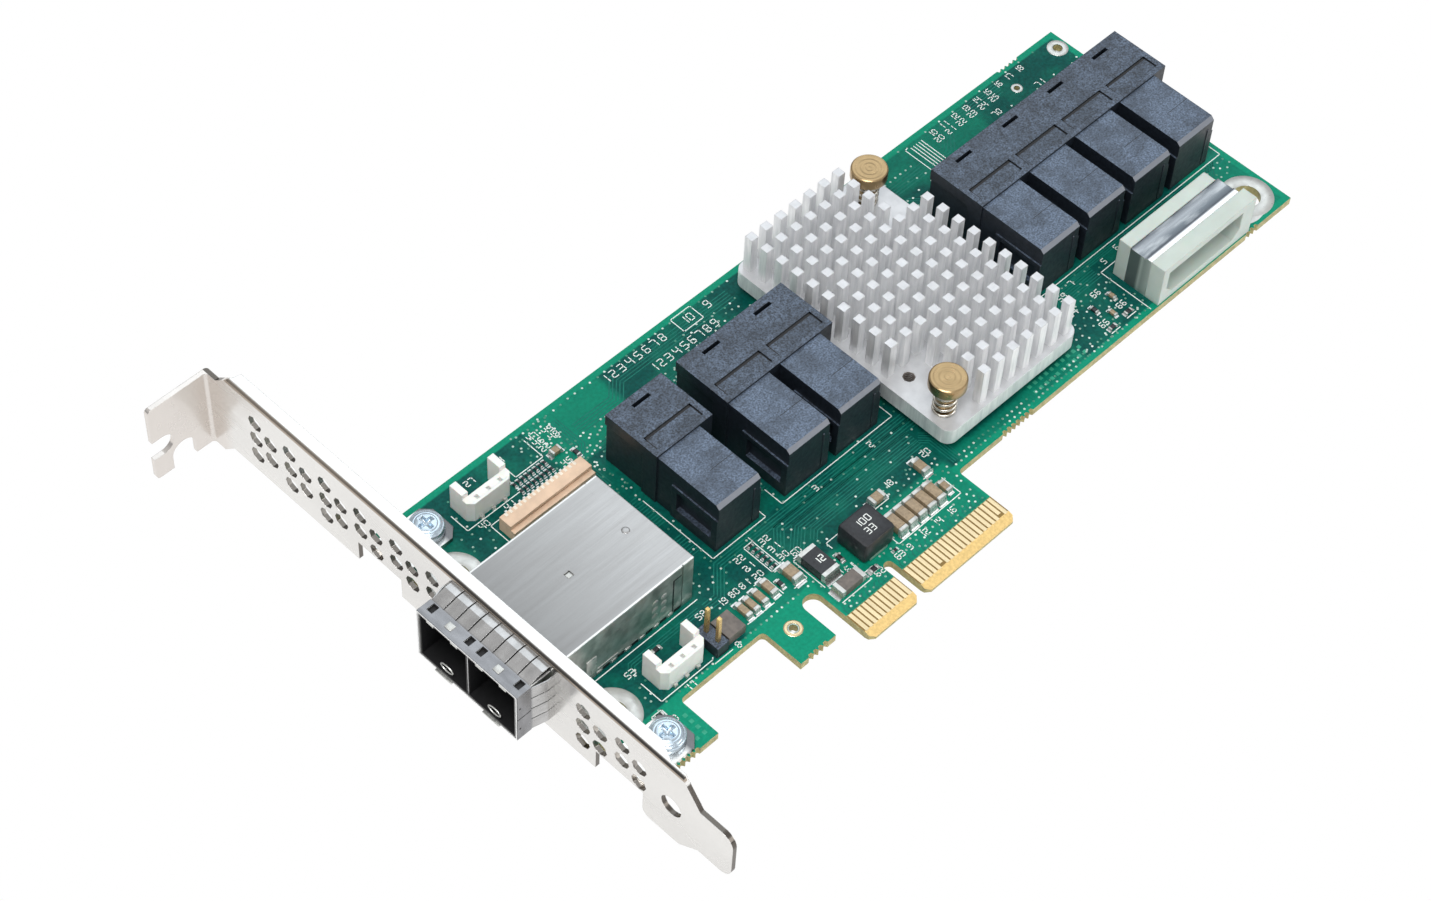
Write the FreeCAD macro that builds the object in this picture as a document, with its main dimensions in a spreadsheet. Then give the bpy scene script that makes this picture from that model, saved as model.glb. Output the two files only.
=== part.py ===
import FreeCAD, Part
import os
import Sketcher

# Storage expander card: a low circuit board in a full height slot bracket, with a two port cage at the
# bracket, seven inner sockets, a pin fin heatsink over the chip and a four pin power socket.
# Frame: origin at the middle of the key slot, on the tips of the edge contacts, on the component side.
# X runs along the card to its far end, Y from the contacts to the top edge, Z out of the component side.

# Driving sizes in millimetres
SIZES = {
    # Board
    "board_thick": 1.57, "near_reach": 56.6, "far_reach": 109.75, "board_height": 68.9,
    "body_edge": 12.8, "tab_edge": 4.4, "near_tab_width": 14.45, "relief_width": 3.75,
    "locator_width": 7.9, "inner_corner": 0.9, "bite_radius": 0.5, "bite_pitch": 1.1,
    "ground_hole": 5.0, "ground_pad": 9.8, "locator_hole": 1.5, "locator_pad": 3.0,
    "corner_hole": 1.8, "corner_pad": 4.0, "probe_hole": 1.1, "probe_pad": 2.2, "plating": 0.06,
    "ring_clearance": 0.1,
    "near_hole_inset": 5.1, "near_hole_spread": 17.85, "far_hole_inset": 5.45, "far_hole_rise": 5.6,
    "corner_hole_inset": 2.25, "corner_hole_drop": 3.6, "probe_hole_inset": 15.3, "probe_hole_drop": 5.2,
    "locator_hole_rise": 5.5, "near_bites_inset": 4.5, "middle_bites_along": 33.8, "far_bites_inset": 11.9,
    "top_bites_inset": 14.4,
    # Edge contacts
    "contact_pitch": 1.0, "contact_width": 0.7, "contact_end": 5.6, "contact_margin": 0.62,
    "short_contact_start": 2.3, "bevel_length": 1.6, "bevel_depth": 0.5, "key_width": 1.9, "key_depth": 8.6,
    "finger_corner": 0.8,
    # Bracket
    "sheet": 0.9, "bracket_gap": 0.5, "face_low": -4.6, "face_high": 13.3, "flange_reach": 2.6,
    "flange_end": -1.8, "flange_start": 100.4, "flange_end_slope": 5.6, "flange_start_slope": 0.7,
    "ear_top": 106.7, "ear_reach": 12.1, "ear_low": -7.2, "ear_high": 10.4, "ear_slope": 3.2,
    "bend_inside": 0.7,
    "ear_slot_width": 4.4, "ear_slot_depth": 4.3, "ear_slot_level": 0.1, "ear_bite_width": 4.8,
    "ear_bite_rise": 5.2, "ear_bite_place": 6.1, "hook_round": 0.8, "shoulder_slope": 2.6,
    "tongue_tip": -13.9, "tongue_start": -7.0, "tongue_low": -2.6, "tongue_high": 8.1, "tongue_round": 2.4,
    "lobe_end": -3.0, "lobe_low": -5.5, "lobe_round": 1.5, "lobe_hole": 4.2,
    "lobe_hole_along": -1.1, "lobe_hole_level": 3.1, "tab_half": 4.0, "tab_relief": 2.3, "tab_reach": 11.7,
    "tab_chamfer": 1.6, "vent_hole": 3.2, "vent_period": 8.45, "vent_top": 94.0, "vent_stagger": 3.7,
    "vent_rise": 4.1, "vent_level": 7.9, "cage_clearance": 0.3,
    # Bracket screws
    "screw_inset": 7.6, "screw_spread": 27.25, "screw_hole": 3.3, "shank": 2.9, "head": 6.1,
    "head_rim": 1.5, "head_top": 4.9, "head_height": 2.2, "recess": 3.0, "recess_arm": 0.8,
    "recess_depth": 1.1, "nut_corners": 6.35, "nut_thick": 2.0, "shank_past_nut": 0.4,
    # Outer two port cage
    "cage_axis": 36.05, "cage_width": 22.0, "cage_height": 11.2, "cage_reach": 7.2, "cage_length": 37.9,
    "cage_sheet": 0.3, "rear_cover": 2.3, "cover_gap": 0.15, "receptacle_depth": 21.4, "port_clearance": 0.1,
    "window_wide": 1.2, "window_long": 1.6, "window_inset": 1.25, "window_spread": 4.15,
    "roof_hole": 1.1, "roof_hole_inset": 21.55,
    "collar_band": 3.0, "collar_thick": 0.2, "collar_lift": 0.7, "finger_gap": 0.22,
    # Inner sockets
    "port_pitch": 12.0, "hood_margin": 0.3, "socket_rise": 16.0, "hood_depth": 11.8, "hood_height": 12.0,
    "cavity_wide": 10.2, "cavity_floor": 2.0, "cavity_tall": 8.4, "cavity_depth": 9.6, "nose_wide": 8.0,
    "nose_tall": 4.4, "nose_inset": 5.0, "nose_slot_tall": 1.4, "nose_slot_wide": 7.2, "nose_slot_depth": 3.6,
    "wafer_wide": 9.4, "wafer_long": 13.7, "wafer_height": 11.5, "wafer_bevel": 0.7, "cheek_wide": 10.0,
    "cheek_long": 10.2, "cheek_height": 8.0, "cheek_recess_depth": 0.9, "cheek_recess_inset": 1.2,
    "cheek_recess_long": 7.8, "cheek_recess_floor": 2.6, "cheek_recess_tall": 4.4,
    "hood_corner": 3.2, "hood_rim": 2.4, "hood_undercut": 0.4,
    "latch_wide": 3.8, "latch_long": 0.7, "latch_inset": 1.5,
    "label_wide": 10.4, "label_long": 3.1, "label_depth": 0.25, "label_inset": 7.6,
    "blade_pitch": 1.35, "blade_wide": 0.6, "blade_thick": 0.2, "blade_inset": 0.6,
    "single_left": -18.2, "dual_gap": 3.4, "quad_gap": 3.9,
    # Heatsink and the chip under it
    "sink_gap": 0.8, "sink_across": 41.0, "sink_length": 32.4, "sink_width": 49.4, "sink_base": 3.4,
    "sink_corner": 2.0, "pin_edge_along": 2.08, "pin_edge_across": 1.755, "pin_side": 1.6, "pin_height": 7.9,
    "sink_seat_hole": 2.3, "seat_hole_along": -12.0, "seat_hole_across": -11.8, "chip_side": 27.0,
    "chip_height": 1.8, "thermal_pad": 0.2, "thermal_pad_side": 25.0,
    # Spring screws of the heatsink
    "lower_screw_along": 3.4, "lower_screw_across": 4.4, "upper_screw_along": 4.8,
    "upper_screw_across": 4.9, "knob": 6.6, "knob_clearance": 0.2, "knob_height": 2.3,
    "spring_length": 6.0, "spring_coil": 4.2, "spring_wire": 0.55, "spring_turns": 4.0,
    "stem": 2.6, "stem_clearance": 0.5, "barb": 3.7, "barb_length": 0.8, "barb_tip": 0.6,
    # Power socket
    "power_inset": 11.65, "power_width": 24.7, "power_front": 0.2, "power_lip": 3.0, "strap_wide": 4.6,
    "power_back": 2.5, "power_height": 8.8, "power_rear_short": 2.1, "strap_thick": 0.4,
    "power_wall": 1.6, "power_floor": 1.5, "power_mouth_depth": 8.5, "power_chamfer": 1.8,
    "power_pin": 2.1, "power_pin_pitch": 5.08, "power_pin_length": 3.9, "strap_step": 1.2, "strap_drop": 0.25,
    # Small headers
    "upper_header_near": 13.9, "lower_header_near": 13.5, "header_wide": 9.5, "header_deep": 4.9,
    "header_height": 5.7, "header_wall_height": 4.6, "header_wall": 2.0, "header_bevel": 1.0,
    "header_arm": 1.3, "upper_header_gap": 3.1, "lower_header_rise": 2.5,
    "header_pitch": 2.5, "header_pin": 0.64, "header_pin_top": 4.2, "header_foot": 0.5,
    "ribbon_side_gap": 3.9, "ribbon_wide": 17.9, "ribbon_deep": 3.6, "ribbon_height": 3.2,
    "ribbon_cage_gap": 5.25,
    "ribbon_pitch": 1.0, "ribbon_lead": 0.45, "ribbon_lead_deep": 0.7, "ribbon_lead_height": 2.5,
    "ribbon_lip": 0.9, "ribbon_lip_drop": 1.0, "ribbon_slit": 0.35, "ribbon_slit_inset": 0.8,
    "jumper_gap": 1.05, "jumper_rise": 3.85, "jumper_wide": 2.5, "jumper_long": 5.0,
    "jumper_height": 2.5, "jumper_pin": 0.64, "jumper_pin_top": 8.5, "jumper_pitch": 2.54,
    # Power parts on the board
    "coil_along": 0.5, "coil_across": 13.6, "coil_long": 6.9, "coil_wide": 6.4, "coil_height": 4.9,
    "coil_corner": 0.8, "bead_gap": 0.6, "bead_rise": 3.95, "bead_long": 3.7, "bead_wide": 4.2,
    "bead_height": 1.9, "fuse_along": -8.4, "fuse_across": 15.4, "fuse_wide": 3.4, "fuse_long": 6.0,
    "fuse_height": 1.9, "diode_along": -7.4, "diode_across": 9.6, "diode_long": 5.4, "diode_wide": 2.4,
    "diode_height": 1.5, "cap_along": 6.3, "cap_across": 12.3, "cap_pitch": 2.28, "cap_wide": 1.75,
    "cap_long": 4.3, "cap_height": 1.7, "cap_end": 0.75,
}
LEFT_CONTACTS = 11
RIGHT_CONTACTS = 21
SHORT_CONTACTS = (6, 20)
PIN_COLUMNS = 9
PIN_ROWS = 14
CLEARED_ROWS = 4
BLADES = 5
POWER_PINS = 4
HEADER_PINS = 3
RIBBON_LEADS = 15
COLLAR_TOP_FINGERS = 8
COLLAR_SIDE_FINGERS = 4
LARGE_CAPS = 5
VENT_COLUMNS = 11
ROUND_SIDES = 12
SMALL_SIDES = 8
NUT_SIDES = 6
BITE_SIDES = 6
VENT_SIDES = 8
COIL_SIDES = 6

ALONG_X = (FreeCAD.Vector(0, 1, 0), 90)
ALONG_Y = (FreeCAD.Vector(1, 0, 0), -90)

doc = FreeCAD.newDocument("expander_card")
sheet = doc.addObject("Spreadsheet::Sheet", "Sizes")
for row, (alias, number) in enumerate(SIZES.items(), start=1):
    sheet.set(f"A{row}", alias)
    sheet.set(f"B{row}", str(number))
    sheet.setAlias(f"B{row}", alias)
doc.recompute()


class Size:
    """A number together with the sheet expression that it comes from."""

    def __init__(self, text, number):
        self.text = text
        self.number = number

    def __add__(self, other):
        other = as_size(other)
        return Size(f"({self.text} + {other.text})", self.number + other.number)

    def __sub__(self, other):
        other = as_size(other)
        return Size(f"({self.text} - {other.text})", self.number - other.number)

    def __mul__(self, other):
        other = as_size(other)
        return Size(f"({self.text} * {other.text})", self.number * other.number)

    def __truediv__(self, other):
        other = as_size(other)
        return Size(f"({self.text} / {other.text})", self.number / other.number)

    def __neg__(self):
        return Size(f"(0 - {self.text})", -self.number)

    __radd__ = __add__


def as_size(value):
    """Plain numbers stand for themselves in an expression."""
    return value if isinstance(value, Size) else Size(f"({value})", value)


def size(alias):
    """A driving size of the sheet."""
    return Size(f"Sizes.{alias}", SIZES[alias])


def sizes(*aliases):
    return [size(alias) for alias in aliases]


def around(middle, width):
    """Start and end of a width laid out evenly round its middle."""
    return (middle - width / 2, middle + width / 2)


def bind(thing, name, value):
    thing.setExpression(name, as_size(value).text)


# Solid primitives, each bound to the sheet
def put(thing, x, y, z):
    for axis, value in zip("xyz", (x, y, z)):
        bind(thing, f"Placement.Base.{axis}", value)


def box(name, xs, ys, zs):
    thing = doc.addObject("Part::Box", name)
    for side, (start, end) in zip(("Length", "Width", "Height"), (xs, ys, zs)):
        bind(thing, side, as_size(end) - start)
    put(thing, xs[0], ys[0], zs[0])
    return thing


def prism(name, sides, radius, length, at, turn=None):
    """A faceted rod from a point, along Z or turned by an axis and an angle."""
    thing = doc.addObject("Part::Prism", name)
    thing.Polygon = sides
    bind(thing, "Circumradius", radius)
    bind(thing, "Height", length)
    if turn:
        thing.Placement = FreeCAD.Placement(FreeCAD.Vector(), FreeCAD.Rotation(*turn))
    put(thing, *at)
    return thing


def group(label, things):
    thing = doc.addObject("Part::Compound", label)
    thing.Links = things
    return thing


def cut(label, base, tools):
    thing = doc.addObject("Part::Cut", label)
    thing.Base = base
    thing.Tool = tools[0] if len(tools) == 1 else group(f"{label}_tools", tools)
    return thing


def fuse(label, things):
    thing = doc.addObject("Part::MultiFuse", label)
    thing.Shapes = things
    return thing


# Bodies built from bound sketches
def new_body(label):
    return doc.addObject("PartDesign::Body", label)


def new_sketch(body, name, plane, level, loops=(), circles=()):
    """A sketch on an origin plane: closed loops of (u, v) corners, and circles as (u, v, radius)."""
    sketch = body.newObject("Sketcher::SketchObject", name)
    support = next(f for f in body.Origin.OriginFeatures if f.Role == f"{plane}_Plane")
    sketch.AttachmentSupport = [(support, "")]
    sketch.MapMode = "FlatFace"
    bind(sketch, "AttachmentOffset.Base.z", level)
    for loop in loops:
        corners = [(as_size(u), as_size(v)) for u, v in loop]
        points = [FreeCAD.Vector(u.number, v.number, 0) for u, v in corners]
        lines = [sketch.addGeometry(Part.LineSegment(a, b), False)
                 for a, b in zip(points, points[1:] + points[:1])]
        for line, following in zip(lines, lines[1:] + lines[:1]):
            sketch.addConstraint(Sketcher.Constraint("Coincident", line, 2, following, 1))
        for line, corner in zip(lines, corners):
            hold_point(sketch, line, 1, corner)
    for u, v, radius in circles:
        centre = (as_size(u), as_size(v))
        radius = as_size(radius)
        round_line = Part.Circle(FreeCAD.Vector(centre[0].number, centre[1].number, 0),
                                 FreeCAD.Vector(0, 0, 1), radius.number)
        circle = sketch.addGeometry(round_line, False)
        hold_point(sketch, circle, 3, centre)
        place = sketch.addConstraint(Sketcher.Constraint("Radius", circle, radius.number))
        bind(sketch, f"Constraints[{place}]", radius)
    return sketch


def hold_point(sketch, line, end, corner):
    """Two bound distances from the sketch's origin to one point."""
    for kind, value in zip(("DistanceX", "DistanceY"), corner):
        place = sketch.addConstraint(Sketcher.Constraint(kind, -1, 1, line, end, value.number))
        bind(sketch, f"Constraints[{place}]", value)


def rectangle(us, vs):
    return [(us[0], vs[0]), (us[1], vs[0]), (us[1], vs[1]), (us[0], vs[1])]


def pad(body, sketch, length):
    feature = body.newObject("PartDesign::Pad", f"{sketch.Name}_pad")
    feature.Profile = sketch
    bind(feature, "Length", length)
    doc.recompute()
    return feature


def pocket(body, sketch, length, upward=False):
    """Cuts against the sketch's normal, or along it."""
    before = body.Shape.Volume
    feature = body.newObject("PartDesign::Pocket", f"{sketch.Name}_pocket")
    feature.Profile = sketch
    feature.Reversed = upward
    bind(feature, "Length", length)
    doc.recompute()
    if body.Shape.Volume >= before:
        raise ValueError(f"{sketch.Name} cuts nothing")
    return feature


def pick_edges(feature, wanted):
    """Names of the straight edges whose middle and direction the test accepts."""
    names = []
    for place, edge in enumerate(feature.Shape.Edges, start=1):
        if edge.Curve.TypeId != "Part::GeomLine":
            continue
        ends = [vertex.Point for vertex in edge.Vertexes]
        if wanted(ends[0], ends[1]):
            names.append(f"Edge{place}")
    return names


def near(value, wanted):
    return abs(value - as_size(wanted).number) < 0.001


def upright_at(axes, corners):
    """A test for edges that stand across the two axes at one of the corners."""
    first, second = axes

    def wanted(start, end):
        return any(near(getattr(p, first), u) and near(getattr(p, second), v)
                   for u, v in corners for p in (start,)
                   if near(getattr(end, first), u) and near(getattr(end, second), v))
    return wanted


def dress(body, kind, feature, wanted, amount):
    """Fillet or Chamfer of the picked edges."""
    edges = pick_edges(feature, wanted)
    if not edges:
        raise ValueError(f"no edge for {kind} on {feature.Name}")
    dressed = body.newObject(f"PartDesign::{kind}", f"{feature.Name}_{kind.lower()}")
    dressed.Base = (feature, edges)
    bind(dressed, "Radius" if kind == "Fillet" else "Size", amount)
    doc.recompute()
    return dressed


# Places that several pieces share
board_near = -size("near_reach")
board_far = size("far_reach")
board_top = size("board_height")
board_under = -size("board_thick")
finger_left = -(size("contact_pitch") * (LEFT_CONTACTS + 0.5) + size("contact_margin"))
finger_right = size("contact_pitch") * (RIGHT_CONTACTS + 0.5) + size("contact_margin")
locator_right = finger_left - size("relief_width")
locator_left = locator_right - size("locator_width")
locator_middle = (locator_left + locator_right) / 2
near_tab_end = board_near + size("near_tab_width")
face_in = board_near - size("bracket_gap")
face_out = face_in - size("sheet")
screw_along = board_near + size("screw_inset")
screw_places = [size("cage_axis") + size("screw_spread"), size("cage_axis") - size("screw_spread")]
cage_front = face_out - size("cage_reach")
cage_back = cage_front + size("cage_length")
cage_sides = around(size("cage_axis"), size("cage_width"))
wafer_end = size("body_edge") + size("socket_rise")
hood_back = wafer_end + size("wafer_long")
mouth = hood_back + size("hood_depth")


def socket_width(ports):
    return size("port_pitch") * ports + size("hood_margin") * 2


single_left = size("single_left")
dual_left = single_left + socket_width(1) + size("dual_gap")
sink_left = dual_left + socket_width(2) + size("sink_gap")
sink_right = sink_left + size("sink_length")
sink_low, sink_high = around(size("sink_across"), size("sink_width"))
sink_middle = ((sink_left + sink_right) / 2, size("sink_across"))
quad_left = sink_right + size("quad_gap")
ribbon_right = single_left - size("ribbon_side_gap")
ribbon_front = cage_sides[1] + size("ribbon_cage_gap")
ribbon_back = ribbon_front + size("ribbon_deep")
upper_header_front = ribbon_back + size("ribbon_lead_deep") + size("upper_header_gap")
lower_header_left = board_near + size("lower_header_near")
jumper_left = lower_header_left + size("header_wide") + size("jumper_gap")
bead_left = jumper_left + size("jumper_wide") + size("bead_gap")
sink_floor = size("chip_height") + size("thermal_pad")
sink_top = sink_floor + size("sink_base")
spring_screws_at = [(sink_left + size("lower_screw_along"), sink_low + size("lower_screw_across")),
                    (sink_right - size("upper_screw_along"), sink_high - size("upper_screw_across"))]
power_right = board_far - size("power_inset")
power_left = power_right - size("power_width")
power_mouth = size("body_edge") + size("power_front")
near_hole_along = board_near + size("near_hole_inset")
ground_holes_at = [(near_hole_along, size("cage_axis") - size("near_hole_spread")),
                   (near_hole_along, size("cage_axis") + size("near_hole_spread")),
                   (board_far - size("far_hole_inset"), size("body_edge") + size("far_hole_rise"))]
corner_hole_at = (board_far - size("corner_hole_inset"), board_top - size("corner_hole_drop"))
probe_hole_at = (board_far - size("probe_hole_inset"), board_top - size("probe_hole_drop"))
locator_hole_at = (locator_middle, size("tab_edge") + size("locator_hole_rise"))
collar_end = cage_front + size("collar_band")
windows_at = [size("cage_axis") + size("cage_width") / 4 * port + size("window_spread") * side
              for port in (-1, 1) for side in (-1, 1)]
window_start = cage_front + size("window_inset")


# Circuit board: outline, slots, plated holes, break-off bites and the bevel of the contact edge
def make_board():
    body = new_body("board_blank")
    edge, tab = sizes("body_edge", "tab_edge")
    half_key = size("key_width") / 2
    outline = [(near_tab_end, tab), (near_tab_end, edge), (locator_left, edge), (locator_left, tab),
               (locator_right, tab), (locator_right, edge - size("relief_width") / 2),
               (finger_left, edge - size("relief_width") / 2), (finger_left, 0), (-half_key, 0),
               (-half_key, size("key_depth") - half_key), (half_key, size("key_depth") - half_key),
               (half_key, 0), (finger_right, 0), (finger_right, edge), (board_far, edge),
               (board_far, board_top), (board_near, board_top), (board_near, tab)]
    slab = pad(body, new_sketch(body, "board_outline", "XY", board_under, [outline]), size("board_thick"))
    inner = [(near_tab_end, edge), (locator_left, edge), (finger_right, edge)]
    dress(body, "Fillet", slab, upright_at("xy", inner), size("inner_corner"))
    tips = [(x, 0) for x in (finger_left, -half_key, half_key, finger_right)]
    dress(body, "Chamfer", body.Tip, upright_at("xy", tips), size("finger_corner"))
    relief_middle = (locator_right + finger_left) / 2
    holes = [(0, size("key_depth") - half_key, half_key),
             (relief_middle, edge - size("relief_width") / 2, size("relief_width") / 2)]
    holes += [(x, y, size("ground_hole") / 2) for x, y in ground_holes_at]
    pocket(body, new_sketch(body, "board_holes", "XY", 0, circles=holes), size("board_thick"))
    bites = [(screw_along, y, SMALL_SIDES, size("screw_hole") / 2) for y in screw_places]
    bites += [(x, y, SMALL_SIDES, (size("stem") + size("stem_clearance")) / 2) for x, y in spring_screws_at]
    small_holes = ((corner_hole_at, "corner"), (probe_hole_at, "probe"), (locator_hole_at, "locator"))
    bites += [(*at, SMALL_SIDES, size(f"{kind}_hole") / 2) for at, kind in small_holes]
    for start, level, count in ((board_near + size("near_bites_inset"), tab, 6),
                                (locator_middle - size("bite_pitch") * 1.5, tab, 4),
                                (size("middle_bites_along"), edge, 7),
                                (board_far - size("far_bites_inset"), edge, 3),
                                (board_far - size("top_bites_inset"), board_top, 5)):
        bites += [(start + size("bite_pitch") * place, level, BITE_SIDES, size("bite_radius"))
                  for place in range(count)]
    length, depth = sizes("bevel_length", "bevel_depth")
    upper = [(0, 0), (length, 0), (0, -depth)]
    lower = [(0, board_under), (length, board_under), (0, board_under + depth)]
    bevels = new_sketch(body, "contact_bevel", "YZ", finger_right, [upper, lower])
    pocket(body, bevels, finger_right - finger_left)
    tools = [prism("board_hole", sides, radius, size("board_thick"), (x, y, board_under))
             for x, y, sides, radius in bites]
    return cut("circuit_board", body, tools)


# Edge contacts on both faces, two of them shorter than the rest
def make_edge_contacts():
    pads = []
    places = [-0.5 - count for count in range(1, LEFT_CONTACTS + 1)]
    places += [0.5 + count for count in range(1, RIGHT_CONTACTS + 1)]
    faces = {"upper": (0, size("plating")), "under": (board_under - size("plating"), board_under)}
    for face, (low, high) in faces.items():
        for place in places:
            start = size("short_contact_start") if int(place) in SHORT_CONTACTS else size("bevel_length")
            xs = around(size("contact_pitch") * place, size("contact_width"))
            pads.append(box(f"contact_{face}", xs, (start, size("contact_end")), (low, high)))
    return group("edge_contacts", pads)


# Bare plated rings round the holes of the component side
def make_plated_rings():
    rings = []
    wanted = [(at, "ground", ROUND_SIDES) for at in ground_holes_at]
    wanted += [(corner_hole_at, "corner", SMALL_SIDES), (probe_hole_at, "probe", SMALL_SIDES),
               (locator_hole_at, "locator", SMALL_SIDES)]
    for at, kind, sides in wanted:
        disc = prism(f"{kind}_disc", sides, size(f"{kind}_pad") / 2, size("plating"), (*at, 0))
        bore = size(f"{kind}_hole") / 2 + size("ring_clearance")
        hole = prism(f"{kind}_bore", sides, bore, size("plating"), (*at, 0))
        rings.append(cut(f"{kind}_ring", disc, [hole]))
    return group("plated_rings", rings)


# Slot bracket: one folded sheet with an ear, a stiffening flange, two screw tabs, vents and the cage window
def make_bracket():
    body = new_body("bracket_blank")
    sheet_thick = size("sheet")
    low, high = sizes("face_low", "face_high")
    ear_low, ear_high, ear_top = sizes("ear_low", "ear_high", "ear_top")
    shoulder = size("flange_start")
    notches = [(y - size("tab_half"), y + size("tab_half") + size("tab_relief")) for y in screw_places]
    upper_notch, lower_notch = notches
    tongue_corners = [(size("tongue_tip"), size("tongue_high")), (size("tongue_tip"), size("tongue_low"))]
    lobe_corners = [(size("lobe_end"), size("lobe_low")), (lower_notch[0], size("lobe_low"))]
    outline = [(ear_top, ear_low), (ear_top, ear_high), (shoulder + size("ear_slope"), ear_high),
               (shoulder, high), (size("lobe_end"), high), (size("tongue_start"), size("tongue_high")),
               *tongue_corners,
               (size("tongue_start"), size("tongue_low")), *lobe_corners,
               (lower_notch[0], 0), (lower_notch[1], 0), (lower_notch[1], low),
               (upper_notch[0], low), (upper_notch[0], 0), (upper_notch[1], 0), (upper_notch[1], low),
               (shoulder, low), (shoulder + size("shoulder_slope"), ear_low)]
    face = pad(body, new_sketch(body, "bracket_face", "YZ", face_out, [outline]), sheet_thick)
    tip = dress(body, "Fillet", face, upright_at("yz", tongue_corners), size("tongue_round"))
    dress(body, "Fillet", tip, upright_at("yz", lobe_corners), size("lobe_round"))

    ear_end = face_out - size("ear_reach")
    ear = rectangle((ear_end, face_out), (ear_low, ear_high))
    pad(body, new_sketch(body, "ear", "XZ", -ear_top, [ear]), sheet_thick)
    behind_ear = sheet_thick - ear_top
    slot_end = ear_end + size("ear_slot_depth") - size("ear_slot_width") / 2
    slot = rectangle((ear_end, slot_end), around(size("ear_slot_level"), size("ear_slot_width")))
    bite_along = face_out - size("ear_bite_place")
    bite_level = ear_low + size("ear_bite_rise") - size("ear_bite_width") / 2
    bite = rectangle(around(bite_along, size("ear_bite_width")), (ear_low, bite_level))
    pocket(body, new_sketch(body, "ear_slots", "XZ", behind_ear, [slot, bite]), sheet_thick)
    rounds = [(slot_end, size("ear_slot_level"), size("ear_slot_width") / 2),
              (bite_along, bite_level, size("ear_bite_width") / 2)]
    pocket(body, new_sketch(body, "ear_rounds", "XZ", behind_ear, circles=rounds), sheet_thick)
    hook = upright_at("xz", [(ear_end, ear_low), (ear_end, ear_high)])
    dress(body, "Fillet", body.Tip, hook, size("hook_round"))

    edge = face_out + size("flange_reach")
    flange = [(face_out, size("flange_end")), (edge, size("flange_end") + size("flange_end_slope")),
              (edge, shoulder - size("flange_start_slope")), (face_out, shoulder)]
    pad(body, new_sketch(body, "flange", "XY", high - sheet_thick, [flange]), sheet_thick)
    bevel = size("tab_chamfer")
    tabs = []
    for y in screw_places:
        start, end = y - size("tab_half"), y + size("tab_half")
        reach = face_in + size("tab_reach")
        tabs.append([(face_out, start), (reach - bevel, start), (reach, start + bevel), (reach, end - bevel),
                     (reach - bevel, end), (face_out, end)])
    pad(body, new_sketch(body, "screw_tabs", "XY", 0, tabs), sheet_thick)
    holes = [prism("screw_seat", SMALL_SIDES, size("screw_hole") / 2, sheet_thick, (screw_along, y, 0))
             for y in screw_places]
    holes += [prism("vent", VENT_SIDES, size("vent_hole") / 2, sheet_thick, (face_out, y, z), ALONG_X)
              for y, z in vent_places()]

    gap = size("cage_clearance") + size("collar_thick")
    window = rectangle((cage_sides[0] - gap, cage_sides[1] + gap), (-gap, size("cage_height") + gap))
    pocket(body, new_sketch(body, "cage_window", "YZ", face_in, [window]), sheet_thick)
    lobe_hole = (size("lobe_hole_along"), size("lobe_hole_level"), size("lobe_hole") / 2)
    pocket(body, new_sketch(body, "tongue_hole", "YZ", face_in, circles=[lobe_hole]), sheet_thick)

    def inside_of_ear(start, end):
        return all(near(p.x, face_out) and near(p.y, ear_top - sheet_thick) for p in (start, end))

    def outside_of_bends(start, end):
        along_ear = all(near(p.x, face_in) and near(p.y, ear_top) for p in (start, end))
        along_flange = all(near(p.x, face_out) and near(p.z, high) for p in (start, end))
        return along_ear or along_flange
    dress(body, "Fillet", body.Tip, inside_of_ear, size("bend_inside"))
    dress(body, "Fillet", body.Tip, outside_of_bends, size("bend_inside"))
    return cut("slot_bracket", body, holes)


def vent_places():
    """Columns of three and two holes in turn, left out where the cage window and the tab notches are."""
    places = []
    for column in range(VENT_COLUMNS):
        for staggered in (0, 1):
            along = size("vent_top") - size("vent_period") * column - size("vent_stagger") * staggered
            from_cage = abs(along.number - SIZES["cage_axis"]) - SIZES["cage_width"] / 2
            clear_of_cage = from_cage > SIZES["vent_hole"]
            if not clear_of_cage:
                continue
            in_notch = any(abs(along.number - y.number - SIZES["tab_relief"] / 2)
                           < SIZES["tab_half"] + SIZES["tab_relief"] / 2 + SIZES["vent_hole"] / 2
                           for y in screw_places)
            beside_cage = from_cage < SIZES["vent_period"]
            rows = 2 if staggered or in_notch or beside_cage and along.number > SIZES["cage_axis"] else 3
            for step in range(rows):
                level = size("vent_level") - size("vent_rise") * (step + 0.5 * staggered)
                places.append((along, level))
    return places


# Pan head screws through the bracket tabs, and the nuts under the board
def make_bracket_screws():
    screws, nuts = [], []
    seat = size("sheet")
    under = board_under - size("nut_thick")
    top = seat + size("head_height")
    shank_end = under - size("shank_past_nut")
    for y in screw_places:
        at = (screw_along, y)
        shank = prism("screw_shank", SMALL_SIDES, size("shank") / 2, seat - shank_end, (*at, shank_end))
        rim = prism("screw_rim", ROUND_SIDES, size("head") / 2, size("head_rim"), (*at, seat))
        crown = prism("screw_crown", ROUND_SIDES, size("head_top") / 2, size("head_height"), (*at, seat))
        long, short = size("recess"), size("recess_arm")
        recess = (top - size("recess_depth"), top)
        arms = [box("recess_arm", around(screw_along, wide), around(y, deep), recess)
                for wide, deep in ((long, short), (short, long))]
        screws.append(cut("bracket_screw", fuse("screw_blank", [shank, rim, crown]), arms))
        hexagon = prism("nut_hexagon", NUT_SIDES, size("nut_corners") / 2, size("nut_thick"), (*at, under))
        thread = prism("nut_thread", SMALL_SIDES, size("shank") / 2, size("nut_thick"), (*at, under))
        nuts.append(cut("nut", hexagon, [thread]))
    return [group("bracket_screws", screws), group("bracket_nuts", nuts)]


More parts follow.
